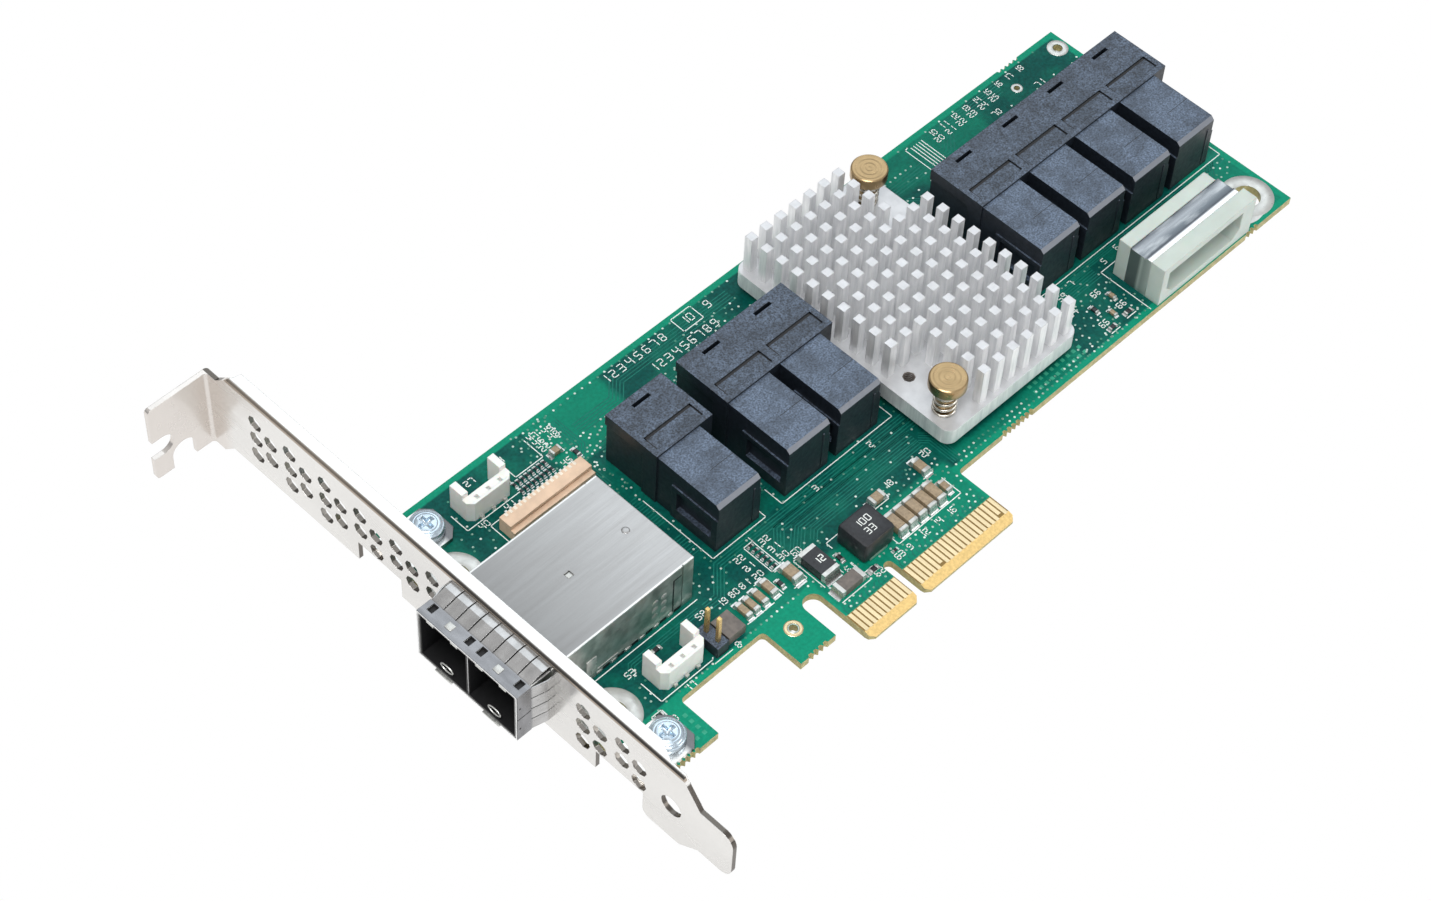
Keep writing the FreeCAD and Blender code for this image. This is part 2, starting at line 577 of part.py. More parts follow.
# Outer cage: folded shell, rear cover, divider, spring collar, two receptacles and their contacts
def make_cage():
    wall, gap = sizes("cage_sheet", "port_clearance")
    top = size("cage_height")
    cover_start = cage_back - size("rear_cover")
    shell_end = cover_start - size("cover_gap")
    inner_sides = (cage_sides[0] + wall, cage_sides[1] - wall)
    receptacle_end = cover_start
    receptacle_start = receptacle_end - size("receptacle_depth")
    divider_sides = around(size("cage_axis"), wall)

    outside = box("shell_outside", (cage_front, shell_end), cage_sides, (0, top))
    inside = box("shell_inside", (cage_front, shell_end), inner_sides, (wall, top - wall))
    board_side = box("shell_open_floor", (receptacle_start, shell_end), inner_sides, (0, wall))
    windows = [box("shell_window", (window_start, window_start + size("window_long")),
                   around(middle, size("window_wide")), (top - wall, top)) for middle in windows_at]
    hole_along = cage_front + size("roof_hole_inset")
    roof_hole = box("roof_hole", around(hole_along, size("roof_hole")),
                    around(size("cage_axis"), size("roof_hole")), (top - wall, top))
    shell = cut("cage_shell", outside, [fuse("shell_hollow", [inside, board_side]), roof_hole, *windows])

    cover_outside = box("cover_outside", (cover_start, cage_back), cage_sides, (0, top))
    cover_inside = box("cover_inside", (cover_start, cage_back - wall), inner_sides, (0, top - wall))
    cover = cut("cage_rear_cover", cover_outside, [cover_inside])
    divider = box("cage_divider", (cage_front + wall, receptacle_start), divider_sides, (wall, top - wall))

    pieces = [shell, cover, divider]
    for which, ys in (("lower", (inner_sides[0] + gap, divider_sides[0])),
                      ("upper", (divider_sides[1], inner_sides[1] - gap))):
        pieces += make_receptacle(which, (receptacle_start, receptacle_end), ys, top - wall - gap)
    return pieces


def make_receptacle(which, xs, ys, top):
    middle = (ys[0] + ys[1]) / 2
    level = top / 2
    tip = xs[0] - size("nose_inset")
    block = box(f"{which}_block", xs, ys, (0, top))
    nose_sides = around(middle, size("nose_wide"))
    nose = box(f"{which}_nose", (tip, xs[0]), nose_sides, around(level, size("nose_tall")))
    slot_end = tip + size("nose_slot_depth")
    slot = box(f"{which}_slot", (tip, slot_end), around(middle, size("nose_slot_wide")),
               around(level, size("nose_slot_tall")))
    floor = level - size("nose_slot_tall") / 2
    blades = []
    for place in range(BLADES):
        across = middle + size("blade_pitch") * (place - (BLADES - 1) / 2)
        blades.append(box(f"{which}_blade", (tip + size("blade_inset"), slot_end),
                          around(across, size("blade_wide")), (floor, floor + size("blade_thick"))))
    housing = cut(f"{which}_receptacle", fuse(f"{which}_receptacle_blank", [block, nose]), [slot])
    return [housing, group(f"{which}_receptacle_contacts", blades)]


# Spring collar: a band round the front of the cage, slit into fingers that press on the bracket
def make_collar():
    body = new_body("spring_collar")
    thick, lift, gap = sizes("collar_thick", "collar_lift", "finger_gap")
    top = size("cage_height")
    outer = rectangle((cage_sides[0] - thick, cage_sides[1] + thick), (-thick, top + thick))
    inner = rectangle(cage_sides, (0, top))
    pad(body, new_sketch(body, "collar_band", "YZ", cage_front, [outer, inner]), size("collar_band"))
    window_span = (window_start, window_start + size("window_long"))
    windows = [rectangle(window_span, around(middle, size("window_wide"))) for middle in windows_at]
    pocket(body, new_sketch(body, "collar_windows", "XY", top + thick, windows), thick)

    def finger_profile(base, outward):
        crest = (collar_end + face_out * 2) / 3
        return [(collar_end, base), (collar_end, base + thick * outward),
                (crest, base + (lift + thick) * outward),
                (face_out, base + (lift + thick) * outward), (face_out, base + lift * outward),
                (crest, base + lift * outward)]

    across = size("cage_width") / COLLAR_TOP_FINGERS
    row = new_sketch(body, "top_finger", "XZ", -cage_sides[1], [finger_profile(top, 1)])
    first = pad(body, row, across - gap)
    repeat(body, first, (row, "N_Axis"), size("cage_width") - across, COLLAR_TOP_FINGERS)
    rise = top / COLLAR_SIDE_FINGERS
    for which, base, outward in (("lower", cage_sides[0], -1), ("upper", cage_sides[1], 1)):
        row = new_sketch(body, f"{which}_side_finger", "XY", 0, [finger_profile(base, outward)])
        first = pad(body, row, rise - gap)
        repeat(body, first, (row, "N_Axis"), top - rise, COLLAR_SIDE_FINGERS)
    return body


def repeat(body, feature, direction, length, count, second=None):
    """A linear pattern, with a second direction for a grid."""
    pattern = body.newObject("PartDesign::LinearPattern", f"{feature.Name}_pattern")
    pattern.Originals = [feature]
    pattern.Direction = (direction[0], [direction[1]])
    bind(pattern, "Length", length)
    pattern.Occurrences = count
    if second:
        pattern.Direction2 = (second[0][0], [second[0][1]])
        bind(pattern, "Length2", second[1])
        pattern.Occurrences2 = second[2]
    body.Tip = pattern
    doc.recompute()
    return pattern


# Inner socket with one to four ports side by side: hood, wafer boxes, cheeks, mouths and inner noses
def make_socket(name, left, ports):
    body = new_body(f"{name}_socket")
    hood_top = size("hood_height")
    pitch = size("port_pitch")
    right = left + socket_width(ports)
    starts = [left + size("hood_margin") + pitch * port for port in range(ports)]
    middles = [start + pitch / 2 for start in starts]
    hood = new_sketch(body, f"{name}_hood", "XY", 0, [rectangle((left, right), (hood_back, mouth))])
    pad(body, hood, hood_top)
    wafers = [rectangle((start, start + size("wafer_wide")), (wafer_end, hood_back)) for start in starts]
    boxes = pad(body, new_sketch(body, f"{name}_wafers", "XY", 0, wafers), size("wafer_height"))

    def front_top(start, end):
        return all(near(p.y, wafer_end) and near(p.z, size("wafer_height")) for p in (start, end))
    dress(body, "Chamfer", boxes, front_top, size("wafer_bevel"))
    cheeks = [rectangle((start - size("hood_margin"), start - size("hood_margin") + size("cheek_wide")),
                        (wafer_end, wafer_end + size("cheek_long"))) for start in starts]
    pad(body, new_sketch(body, f"{name}_cheeks", "XY", 0, cheeks), size("cheek_height"))
    recess_start = wafer_end + size("cheek_recess_inset")
    recess_floor = size("cheek_recess_floor")
    recess = rectangle((recess_start, recess_start + size("cheek_recess_long")),
                       (recess_floor, recess_floor + size("cheek_recess_tall")))
    for port, start in enumerate(starts):
        side = new_sketch(body, f"{name}_recess_{port}", "YZ", start - size("hood_margin"), [recess])
        pocket(body, side, size("cheek_recess_depth"), upward=True)
    flank = rectangle((hood_back + size("hood_corner"), mouth), (0, hood_top - size("hood_rim")))
    for side, along, inward in (("near", left, True), ("far", right, False)):
        undercut = new_sketch(body, f"{name}_{side}_flank", "YZ", along, [flank])
        pocket(body, undercut, size("hood_undercut"), upward=inward)

    floor, tall, deep = sizes("cavity_floor", "cavity_tall", "cavity_depth")
    ways = [rectangle(around(middle, size("cavity_wide")), (floor, floor + tall)) for middle in middles]
    pocket(body, new_sketch(body, f"{name}_mouths", "XZ", -mouth, ways), deep, upward=True)
    level = floor + tall / 2
    noses = [rectangle(around(middle, size("nose_wide")), around(level, size("nose_tall")))
             for middle in middles]
    nose_tip = mouth - size("nose_inset")
    pad(body, new_sketch(body, f"{name}_noses", "XZ", -nose_tip, noses), deep - size("nose_inset"))
    slots = [rectangle(around(middle, size("nose_slot_wide")), around(level, size("nose_slot_tall")))
             for middle in middles]
    slot_sketch = new_sketch(body, f"{name}_slots", "XZ", -nose_tip, slots)
    pocket(body, slot_sketch, size("nose_slot_depth"), upward=True)

    latches = [rectangle(around(middle, size("latch_wide")),
                         (mouth - size("latch_inset") - size("latch_long"), mouth - size("latch_inset")))
               for middle in middles]
    pocket(body, new_sketch(body, f"{name}_latches", "XY", hood_top, latches), hood_top - floor - tall)
    labels = [rectangle(around(middle, size("label_wide")),
                        (mouth - size("label_inset") - size("label_long"), mouth - size("label_inset")))
              for middle in middles]
    pocket(body, new_sketch(body, f"{name}_labels", "XY", hood_top, labels), size("label_depth"))

    foot = level - size("nose_slot_tall") / 2
    ys = (nose_tip - size("nose_slot_depth"), nose_tip - size("blade_inset"))
    blades = []
    for middle in middles:
        for place in range(BLADES):
            along = middle + size("blade_pitch") * (place - (BLADES - 1) / 2)
            blades.append(box(f"{name}_blade", around(along, size("blade_wide")), ys,
                              (foot, foot + size("blade_thick"))))
    return [body, group(f"{name}_socket_contacts", blades)]


# Heatsink: rounded base, grid of square pins, two corners cleared for the spring screws
def make_heatsink():
    body = new_body("sink_blank")
    x, y = sink_middle
    xs, ys = (sink_left, sink_right), (sink_low, sink_high)
    base = pad(body, new_sketch(body, "sink_base", "XY", sink_floor, [rectangle(xs, ys)]), size("sink_base"))
    corners = [(u, v) for u in xs for v in ys]
    dress(body, "Fillet", base, upright_at("xy", corners), size("sink_corner"))
    first_x, first_y = sink_left + size("pin_edge_along"), sink_low + size("pin_edge_across")
    last_x, last_y = sink_right - size("pin_edge_along"), sink_high - size("pin_edge_across")
    square = rectangle(around(first_x, size("pin_side")), around(first_y, size("pin_side")))
    pin_sketch = new_sketch(body, "sink_pin", "XY", sink_top, [square])
    pin = pad(body, pin_sketch, size("pin_height"))
    repeat(body, pin, (pin_sketch, "H_Axis"), last_x - first_x, PIN_COLUMNS,
           ((pin_sketch, "V_Axis"), last_y - first_y, PIN_ROWS))
    reach = size("knob") / 2 + size("knob_clearance")
    cleared = (last_y - first_y) / (PIN_ROWS - 1) * (CLEARED_ROWS - 0.5)
    (lower_x, _), (upper_x, _) = spring_screws_at
    lower = rectangle((sink_left, lower_x + reach), (sink_low, first_y + cleared))
    upper = rectangle((upper_x - reach, sink_right), (last_y - cleared, sink_high))
    cleared_corners = new_sketch(body, "sink_corners", "XY", sink_top, [lower, upper])
    pocket(body, cleared_corners, size("pin_height"), upward=True)
    holes = [prism("stem_hole", SMALL_SIDES, (size("stem") + size("stem_clearance")) / 2, size("sink_base"),
                   (u, v, sink_floor)) for u, v in spring_screws_at]
    seat_at = (x + size("seat_hole_along"), y + size("seat_hole_across"), sink_floor)
    holes.append(prism("seat_hole", SMALL_SIDES, size("sink_seat_hole") / 2, size("sink_base"), seat_at))
    return cut("heatsink", body, holes)


# Chip and the pad that carries its heat to the sink
def make_chip():
    x, y = sink_middle
    chip = box("expander_chip", around(x, size("chip_side")), around(y, size("chip_side")),
               (0, size("chip_height")))
    soft = box("thermal_pad", around(x, size("thermal_pad_side")), around(y, size("thermal_pad_side")),
               (size("chip_height"), sink_floor))
    return [chip, soft]


# Brass spring screws with a barbed end under the board, and their coil springs
def make_spring_screws():
    screws, springs = [], []
    knob_under = sink_top + size("spring_length")
    barb_end = board_under - size("barb_length")
    for at in spring_screws_at:
        barb = prism("barb", SMALL_SIDES, size("barb") / 2, size("barb_length"), (*at, barb_end))
        stem = prism("stem", SMALL_SIDES, size("stem") / 2, knob_under - barb_end + size("barb_tip"),
                     (*at, barb_end - size("barb_tip")))
        knob = prism("knob", ROUND_SIDES, size("knob") / 2, size("knob_height"), (*at, knob_under))
        screws.append(fuse("spring_screw", [barb, stem, knob]))
        springs.append(make_spring(*at))
    return [group("spring_screws", screws), group("springs", springs)]


def make_spring(x, y):
    """Square wire carried along a helix, a few straight lengths to each turn."""
    wire, width, length, turns = [sheet.get(f"spring_{word}") for word in ("wire", "coil", "length", "turns")]
    half = wire / 2
    steps = int(turns) * COIL_SIDES
    rings = []
    for step in range(steps + 1):
        turned = FreeCAD.Rotation(FreeCAD.Vector(0, 0, 1), 360 * step / COIL_SIDES)
        level = half + (length - wire) * step / steps
        rings.append([turned.multVec(FreeCAD.Vector(width / 2 - half + half * u, 0, level + half * v))
                      for u, v in ((-1, -1), (1, -1), (1, 1), (-1, 1))])
    outlines = [rings[0], rings[-1]]
    for near_ring, far_ring in zip(rings, rings[1:]):
        for a, b in ((0, 1), (1, 2), (2, 3), (3, 0)):
            outlines += [[near_ring[a], near_ring[b], far_ring[b]], [near_ring[a], far_ring[b], far_ring[a]]]
    skin = [Part.Face(Part.makePolygon([*outline, outline[0]])) for outline in outlines]
    coil = doc.addObject("Part::Feature", "spring")
    coil.Shape = Part.makeSolid(Part.makeShell(skin))
    put(coil, x, y, sink_top)
    return coil


# Power socket: moulded shell with a waist, the steel strap over the waist, and four pins
def make_power_socket():
    xs = (power_left, power_right)
    top, strap = sizes("power_height", "strap_thick")
    waist_start = power_mouth + size("power_lip")
    waist_end = waist_start + size("strap_wide")
    rear_end = waist_end + size("power_back")
    rear_right = power_right - size("power_rear_short")
    waist_xs = (power_left + strap, rear_right + strap)
    floor, wall, bevel = sizes("power_floor", "power_wall", "power_chamfer")

    body = new_body("power_socket")
    pad(body, new_sketch(body, "power_front", "XY", 0, [rectangle(xs, (power_mouth, waist_start))]), top)
    waist = rectangle(waist_xs, (waist_start, waist_end))
    pad(body, new_sketch(body, "power_waist", "XY", 0, [waist]), top - strap)
    rear = rectangle((power_left, rear_right), (waist_end, rear_end))
    pad(body, new_sketch(body, "power_rear", "XY", 0, [rear]), top)
    way = (power_left + wall, rear_right - wall + strap)
    ceiling = top - floor
    opening = [(way[0] + bevel, floor), (way[1] - bevel, floor), (way[1], floor + bevel), (way[1], ceiling),
               (way[0], ceiling), (way[0], floor + bevel)]
    pocket(body, new_sketch(body, "power_mouth", "XZ", -power_mouth, [opening]), size("power_mouth_depth"))

    strap_xs = (power_left, rear_right + strap * 2)
    legs = box("strap_outside", strap_xs, (waist_start, waist_end), (0, top))
    hollow = box("strap_inside", waist_xs, (waist_start, waist_end), (0, top - strap))
    step = box("strap_step", strap_xs, (waist_start + size("strap_step"), waist_end),
               (top - size("strap_drop"), top))
    clip = cut("power_strap", legs, [hollow, step])

    middle = (way[0] + way[1]) / 2
    level = (floor + ceiling) / 2
    back = power_mouth + size("power_mouth_depth")
    pins = []
    for place in range(POWER_PINS):
        along = middle + size("power_pin_pitch") * (place - (POWER_PINS - 1) / 2)
        start = back - size("power_pin_length")
        pins.append(prism("power_pin", SMALL_SIDES, size("power_pin") / 2, size("power_pin_length"),
                          (along, start, level), ALONG_Y))
    return [body, clip, group("power_pins", pins)]


# Three pin headers: a wall with bevelled corners, two taller arms behind it and the pins in the wall
def make_header(name, left, front):
    body = new_body(name)
    right = left + size("header_wide")
    back = front + size("header_deep")
    wall_end = front + size("header_wall")
    bevel, arm = sizes("header_bevel", "header_arm")
    plan = [(left + bevel, front), (right - bevel, front), (right, front + bevel), (right, back),
            (right - arm, back), (right - arm, wall_end), (left + arm, wall_end), (left + arm, back),
            (left, back), (left, front + bevel)]
    pad(body, new_sketch(body, f"{name}_wall", "XY", 0, [plan]), size("header_wall_height"))
    arms = [rectangle(span, (wall_end, back)) for span in ((left, left + arm), (right - arm, right))]
    pad(body, new_sketch(body, f"{name}_arms", "XY", 0, arms), size("header_height"))
    middle = (left + right) / 2
    thick = size("header_pin")
    spans = [around(middle + size("header_pitch") * (place - (HEADER_PINS - 1) / 2), thick)
             for place in range(HEADER_PINS)]
    ways = [rectangle(xs, (front, front + thick * 2)) for xs in spans]
    wall_top = size("header_wall_height")
    pocket(body, new_sketch(body, f"{name}_ways", "XY", wall_top, ways), wall_top)
    pins = []
    for xs in spans:
        foot = box(f"{name}_foot", xs, (front - size("header_foot"), front + thick * 2), (0, thick))
        post = box(f"{name}_post", xs, (front + thick, front + thick * 2), (0, size("header_pin_top")))
        pins.append(fuse(f"{name}_pin", [foot, post]))
    return [body, group(f"{name}_pins", pins)]


# Flat ribbon socket: a cover over a lower lip, with soldered leads behind it
def make_ribbon_socket():
    xs = (ribbon_right - size("ribbon_wide"), ribbon_right)
    front, back = ribbon_front, ribbon_back
    top = size("ribbon_height")
    cover = front + size("ribbon_lip")
    lip_top = top - size("ribbon_lip_drop")
    blank = box("ribbon_blank", xs, (front, back), (0, top))
    step = box("ribbon_step", xs, (front, cover), (lip_top, top))
    slit_xs = (xs[0] + size("ribbon_slit_inset"), xs[1] - size("ribbon_slit_inset"))
    slit = box("ribbon_slit", slit_xs, (cover, cover + size("ribbon_deep") / 2),
               (lip_top, lip_top + size("ribbon_slit")))
    middle = (xs[0] + xs[1]) / 2
    leads = []
    for place in range(RIBBON_LEADS):
        across = around(middle + size("ribbon_pitch") * (place - (RIBBON_LEADS - 1) / 2), size("ribbon_lead"))
        leads.append(box("ribbon_lead", across, (back, back + size("ribbon_lead_deep")),
                         (0, size("ribbon_lead_height"))))
    return [cut("ribbon_socket", blank, [step, slit]), group("ribbon_socket_leads", leads)]


# Two pin jumper post
def make_jumper():
    x, y = jumper_left + size("jumper_wide") / 2, size("body_edge") + size("jumper_rise")
    height = size("jumper_height")
    blank = box("jumper_blank", around(x, size("jumper_wide")), around(y, size("jumper_long")), (0, height))
    ways, posts = [], []
    for side in (-0.5, 0.5):
        across = y + size("jumper_pitch") * side
        faces = (around(x, size("jumper_pin")), around(across, size("jumper_pin")))
        ways.append(box("jumper_way", *faces, (0, height)))
        posts.append(box("jumper_post", *faces, (0, size("jumper_pin_top"))))
    return [cut("jumper_base", blank, ways), group("jumper_posts", posts)]


# Chip parts of the power supply: bodies with soldered ends
def make_two_ended(name, middle, long_axis, length, width, height, cap, count=1, pitch=0):
    bodies, ends = [], []
    x, y = middle
    for place in range(count):
        at = x + as_size(pitch) * place
        for role, (start, end) in (("body", (cap - length / 2, length / 2 - cap)),
                                   ("end", (-(length / 2), cap - length / 2)),
                                   ("end", (length / 2 - cap, length / 2))):
            if long_axis == "x":
                spans = ((at + start, at + end), around(y, width))
            else:
                spans = (around(at, width), (y + start, y + end))
            (bodies if role == "body" else ends).append(box(f"{name}_{role}", *spans, (0, height)))
    return [group(name, bodies), group(f"{name}_ends", ends)]


def make_coil():
    body = new_body("power_coil")
    xs = around(size("coil_along"), size("coil_long"))
    ys = around(size("coil_across"), size("coil_wide"))
    block = pad(body, new_sketch(body, "coil_block", "XY", 0, [rectangle(xs, ys)]), size("coil_height"))
    dress(body, "Chamfer", block, upright_at("xy", [(u, v) for u in xs for v in ys]), size("coil_corner"))
    return body


pieces = [make_board(), make_edge_contacts(), make_plated_rings(), make_bracket(), *make_bracket_screws(),
          *make_cage(), make_collar()]
for name, left, ports in (("single", single_left, 1), ("double", dual_left, 2), ("quad", quad_left, 4)):
    pieces += make_socket(name, left, ports)
pieces += [make_heatsink(), *make_chip(), *make_spring_screws(), *make_power_socket()]
pieces += make_header("upper_header", board_near + size("upper_header_near"), upper_header_front)
pieces += make_header("lower_header", lower_header_left, size("body_edge") + size("lower_header_rise"))
pieces += [*make_ribbon_socket(), *make_jumper(), make_coil()]
pieces += make_two_ended("large_capacitors", (size("cap_along"), size("cap_across")), "y", size("cap_long"),
                         size("cap_wide"), size("cap_height"), size("cap_end"), LARGE_CAPS, size("cap_pitch"))
pieces += make_two_ended("fuse", (size("fuse_along"), size("fuse_across")), "y", size("fuse_long"),
                         size("fuse_wide"), size("fuse_height"), size("cap_end"))
pieces += make_two_ended("diode", (size("diode_along"), size("diode_across")), "x", size("diode_long"),
                         size("diode_wide"), size("diode_height"), size("cap_end"))
pieces.append(box("filter_bead", (bead_left, bead_left + size("bead_long")),
                  around(size("body_edge") + size("bead_rise"), size("bead_wide")), (0, size("bead_height"))))

# Every feature has to be sound before anything is written
doc.recompute()
for thing in doc.Objects:
    if any(word in thing.State for word in ("Invalid", "Error")):
        raise ValueError(f"{thing.Label} failed: {thing.State}")
os.makedirs("parts", exist_ok=True)
for piece in pieces:
    if piece.Shape.isNull() or not piece.Shape.isValid():
        raise ValueError(f"{piece.Label} is not sound")
    piece.Shape.exportStep(f"parts/{piece.Label}.step")
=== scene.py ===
import math
import bmesh
import bpy
import numpy as np
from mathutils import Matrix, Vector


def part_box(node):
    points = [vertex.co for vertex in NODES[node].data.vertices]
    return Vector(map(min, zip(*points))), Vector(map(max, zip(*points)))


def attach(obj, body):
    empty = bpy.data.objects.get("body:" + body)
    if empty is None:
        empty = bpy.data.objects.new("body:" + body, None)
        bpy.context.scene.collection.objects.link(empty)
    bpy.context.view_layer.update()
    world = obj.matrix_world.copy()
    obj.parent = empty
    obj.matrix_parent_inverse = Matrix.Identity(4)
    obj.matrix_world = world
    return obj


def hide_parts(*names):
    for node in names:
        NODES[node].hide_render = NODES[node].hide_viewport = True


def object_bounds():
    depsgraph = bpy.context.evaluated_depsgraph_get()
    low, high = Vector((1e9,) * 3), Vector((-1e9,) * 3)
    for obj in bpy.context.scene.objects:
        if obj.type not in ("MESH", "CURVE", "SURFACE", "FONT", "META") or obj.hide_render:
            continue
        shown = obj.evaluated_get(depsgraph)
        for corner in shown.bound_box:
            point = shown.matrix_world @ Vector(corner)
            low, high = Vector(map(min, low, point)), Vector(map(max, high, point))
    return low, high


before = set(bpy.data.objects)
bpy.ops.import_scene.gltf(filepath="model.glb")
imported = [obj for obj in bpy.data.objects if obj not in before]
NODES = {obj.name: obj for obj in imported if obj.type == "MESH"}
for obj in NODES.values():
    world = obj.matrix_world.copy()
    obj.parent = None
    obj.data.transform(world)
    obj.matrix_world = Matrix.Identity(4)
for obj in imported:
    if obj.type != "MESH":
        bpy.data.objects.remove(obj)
CAD_BOX = [list(corner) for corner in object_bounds()]

bl_info = {
    "name": "Expander card dressing",
    "version": (1, 0, 0),
    "blender": (4, 5, 0),
    "location": "View3D > Sidebar > Card",
    "description": "Dresses a storage expander card with finishes, print, solder and small parts",
    "category": "Object",
}

MM = 0.001
# Points closer together than this, in metres, become one
WELD = 1e-8
FINISHES = {}


def box_mm(node):
    """Low and high corner of a solid, in millimetres."""
    low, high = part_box(node)
    return np.array(low) / MM, np.array(high) / MM


# Places and sizes on the card, in millimetres
BOARD_LOW, BOARD_HIGH = box_mm("circuit_board")
FINGERS_LOW, FINGERS_HIGH = box_mm("edge_contacts")
CAGE_LOW, CAGE_HIGH = box_mm("cage_shell")
PORTS = [box_mm("lower_receptacle"), box_mm("upper_receptacle")]
# Inner sockets: how many plugs each takes, pitch of the ports, margin of the hood, width and top of the box
# that takes a plug
SOCKETS = {"single_socket": 1, "double_socket": 2, "quad_socket": 4}
PORT_PITCH, HOOD_MARGIN = 12.0, 0.3
WAFER_WIDE, WAFER_TOP = 9.4, 11.5
# Board: its long near edge, the end of the mask at the contacts, a margin beside them, the room kept at
# the key slot, and holes
BODY_EDGE, MASK_EDGE, NECK_INSET = 12.8, 5.7, 0.4
KEY_HALF, KEY_TOP = 1.6, 9.4
GROUND_HOLES, GROUND_PAD = [(-51.5, 18.2), (-51.5, 53.9), (104.3, 18.4)], 4.9
LOCATOR_HOLE = (-19.82, 9.9)
# Bracket: both faces of its sheet, the top of its flange, the shaded ends of its tabs, the stretches along
# it that are the ear and the vents, and where the dark line of its bend fades
# The shade on the ends of the tabs and the dark line along the bend are painted
FACE_OUT, FACE_IN, FLANGE_TOP = -58.0, -57.1, 13.3
TAB_SHADE = -48.2
EAR_YS, VENT_YS, FADE_YS = (101.5, 120.0), (2.0, 110.0), (45.0, 75.0)
# Cage: the end of its collar's band, marks on its roof, and the pitch and end of the feet along its side
COLLAR_END = -62.2
ROOF_DIMPLE, ROOF_TAB = (-31.4, 36.05), ((-44.2, 35.6), (-43.1, 36.5))
FOOT_PITCH, FEET_END = 3.1, -31.0
ROOF_CURLS = (28.0, 33.2, 38.8, 44.2)
# Marks on the cage's near side, as x and z: middles of the dimples, then two corners of each slot between the
# feet, of the seams, of the slots in the collar's band, of the feet and of a raised strip
SIDE_DIMPLES = [(x, z) for x in (-35.6, -33.7) for z in (3.2, 5.0, 6.8)]
FOOT_SLOTS = [(x, 0.0, x + 1.5, 0.75) for x in np.arange(-53.0, FEET_END, FOOT_PITCH)]
SIDE_SEAMS = [(-31.75, 0.3, -31.45, 9.0), (-31.75, 8.75, -29.9, 9.05)]
BAND_SLOTS = [
    (CAGE_LOW[0] + 0.15, 5.0, COLLAR_END - 0.1, 5.2),
    *[(CAGE_LOW[0] + 0.5, z, CAGE_LOW[0] + 0.85, z + 0.4) for z in (2.2, 7.6)],
]
CAGE_FEET = [
    *[(x, 0.0, x + 1.0, 0.6) for x in np.arange(-51.2, FEET_END, FOOT_PITCH)],
    (-50.4, 0.0, -48.3, 5.4),
]
SIDE_STRIP = [(-48.0, 1.3, -43.6, 1.55)]
# Headers, screws and the threaded hole beside the heatsink's pins
HEADER_BEVEL, HEADER_WALL = 1.0, 4.6
PAN_RADIUS, KNOB_RADIUS = 3.05, 3.3
SEAT_HOLE = (27.4, 29.2)


# Surfaces, in millimetres
def circle(sides):
    """Points at equal steps round the unit circle."""
    turn = np.arange(sides) * 2 * np.pi / sides
    return np.stack([np.cos(turn), np.sin(turn)], 1)


def raised(flat, low, high):
    """Outlines of equal corner count carried straight up from one level to another and closed by a lid."""
    count, corners = flat.shape[:2]
    levels = np.broadcast_to(np.reshape([low, high], (2, 1, 1)), (2, count, corners))
    points = np.concatenate([np.broadcast_to(flat, (2, count, corners, 2)), levels[..., None]], -1)
    points = points.transpose(1, 0, 2, 3).reshape(-1, 3)
    ring = np.arange(corners)
    after = np.roll(ring, -1)
    walls = np.stack([ring, after, after + corners, ring + corners], 1)
    step = np.arange(count)[:, None, None] * corners * 2
    faces = (walls[None] + step).reshape(-1, 4).tolist()
    faces += (ring[None] + corners + step[:, 0]).tolist()
    faces += (ring[None, ::-1] + step[:, 0]).tolist()
    return points, faces


def bars(starts, ends, width, low, high):
    """Straight flat bars: the corners of each lie half a width to both sides of its line, at two levels."""
    a, b = np.asarray(starts, float), np.asarray(ends, float)
    along = (b - a) / np.linalg.norm(b - a, axis=1, keepdims=True)
    side = np.stack([-along[:, 1], along[:, 0]], 1) * width / 2
    return raised(np.stack([a - side, b - side, b + side, a + side], 1), low, high)


def plates(spans, low, high):
    """Flat plates from rectangles given as x and y of two corners."""
    x0, y0, x1, y1 = np.asarray(spans, float).T
    corners = [np.stack([x0, x1, x1, x0], 1), np.stack([y0, y0, y1, y1], 1)]
    return raised(np.stack(corners, -1), low, high)


def discs(centres, radius, low, high, sides):
    """Low round plates: points on a circle round each centre, at two levels."""
    return raised(np.asarray(centres, float)[:, None, :2] + radius * circle(sides), low, high)


def grid_faces(rows, columns, closed):
    """Four sided faces of a grid of points, row by row, joined end to end where it is closed."""
    i, j = np.meshgrid(np.arange(rows - 1), np.arange(columns if closed else columns - 1), indexing="ij")
    k = (j + 1) % columns
    quads = [i * columns + j, i * columns + k, (i + 1) * columns + k, (i + 1) * columns + j]
    return np.stack(quads, -1).reshape(-1, 4)


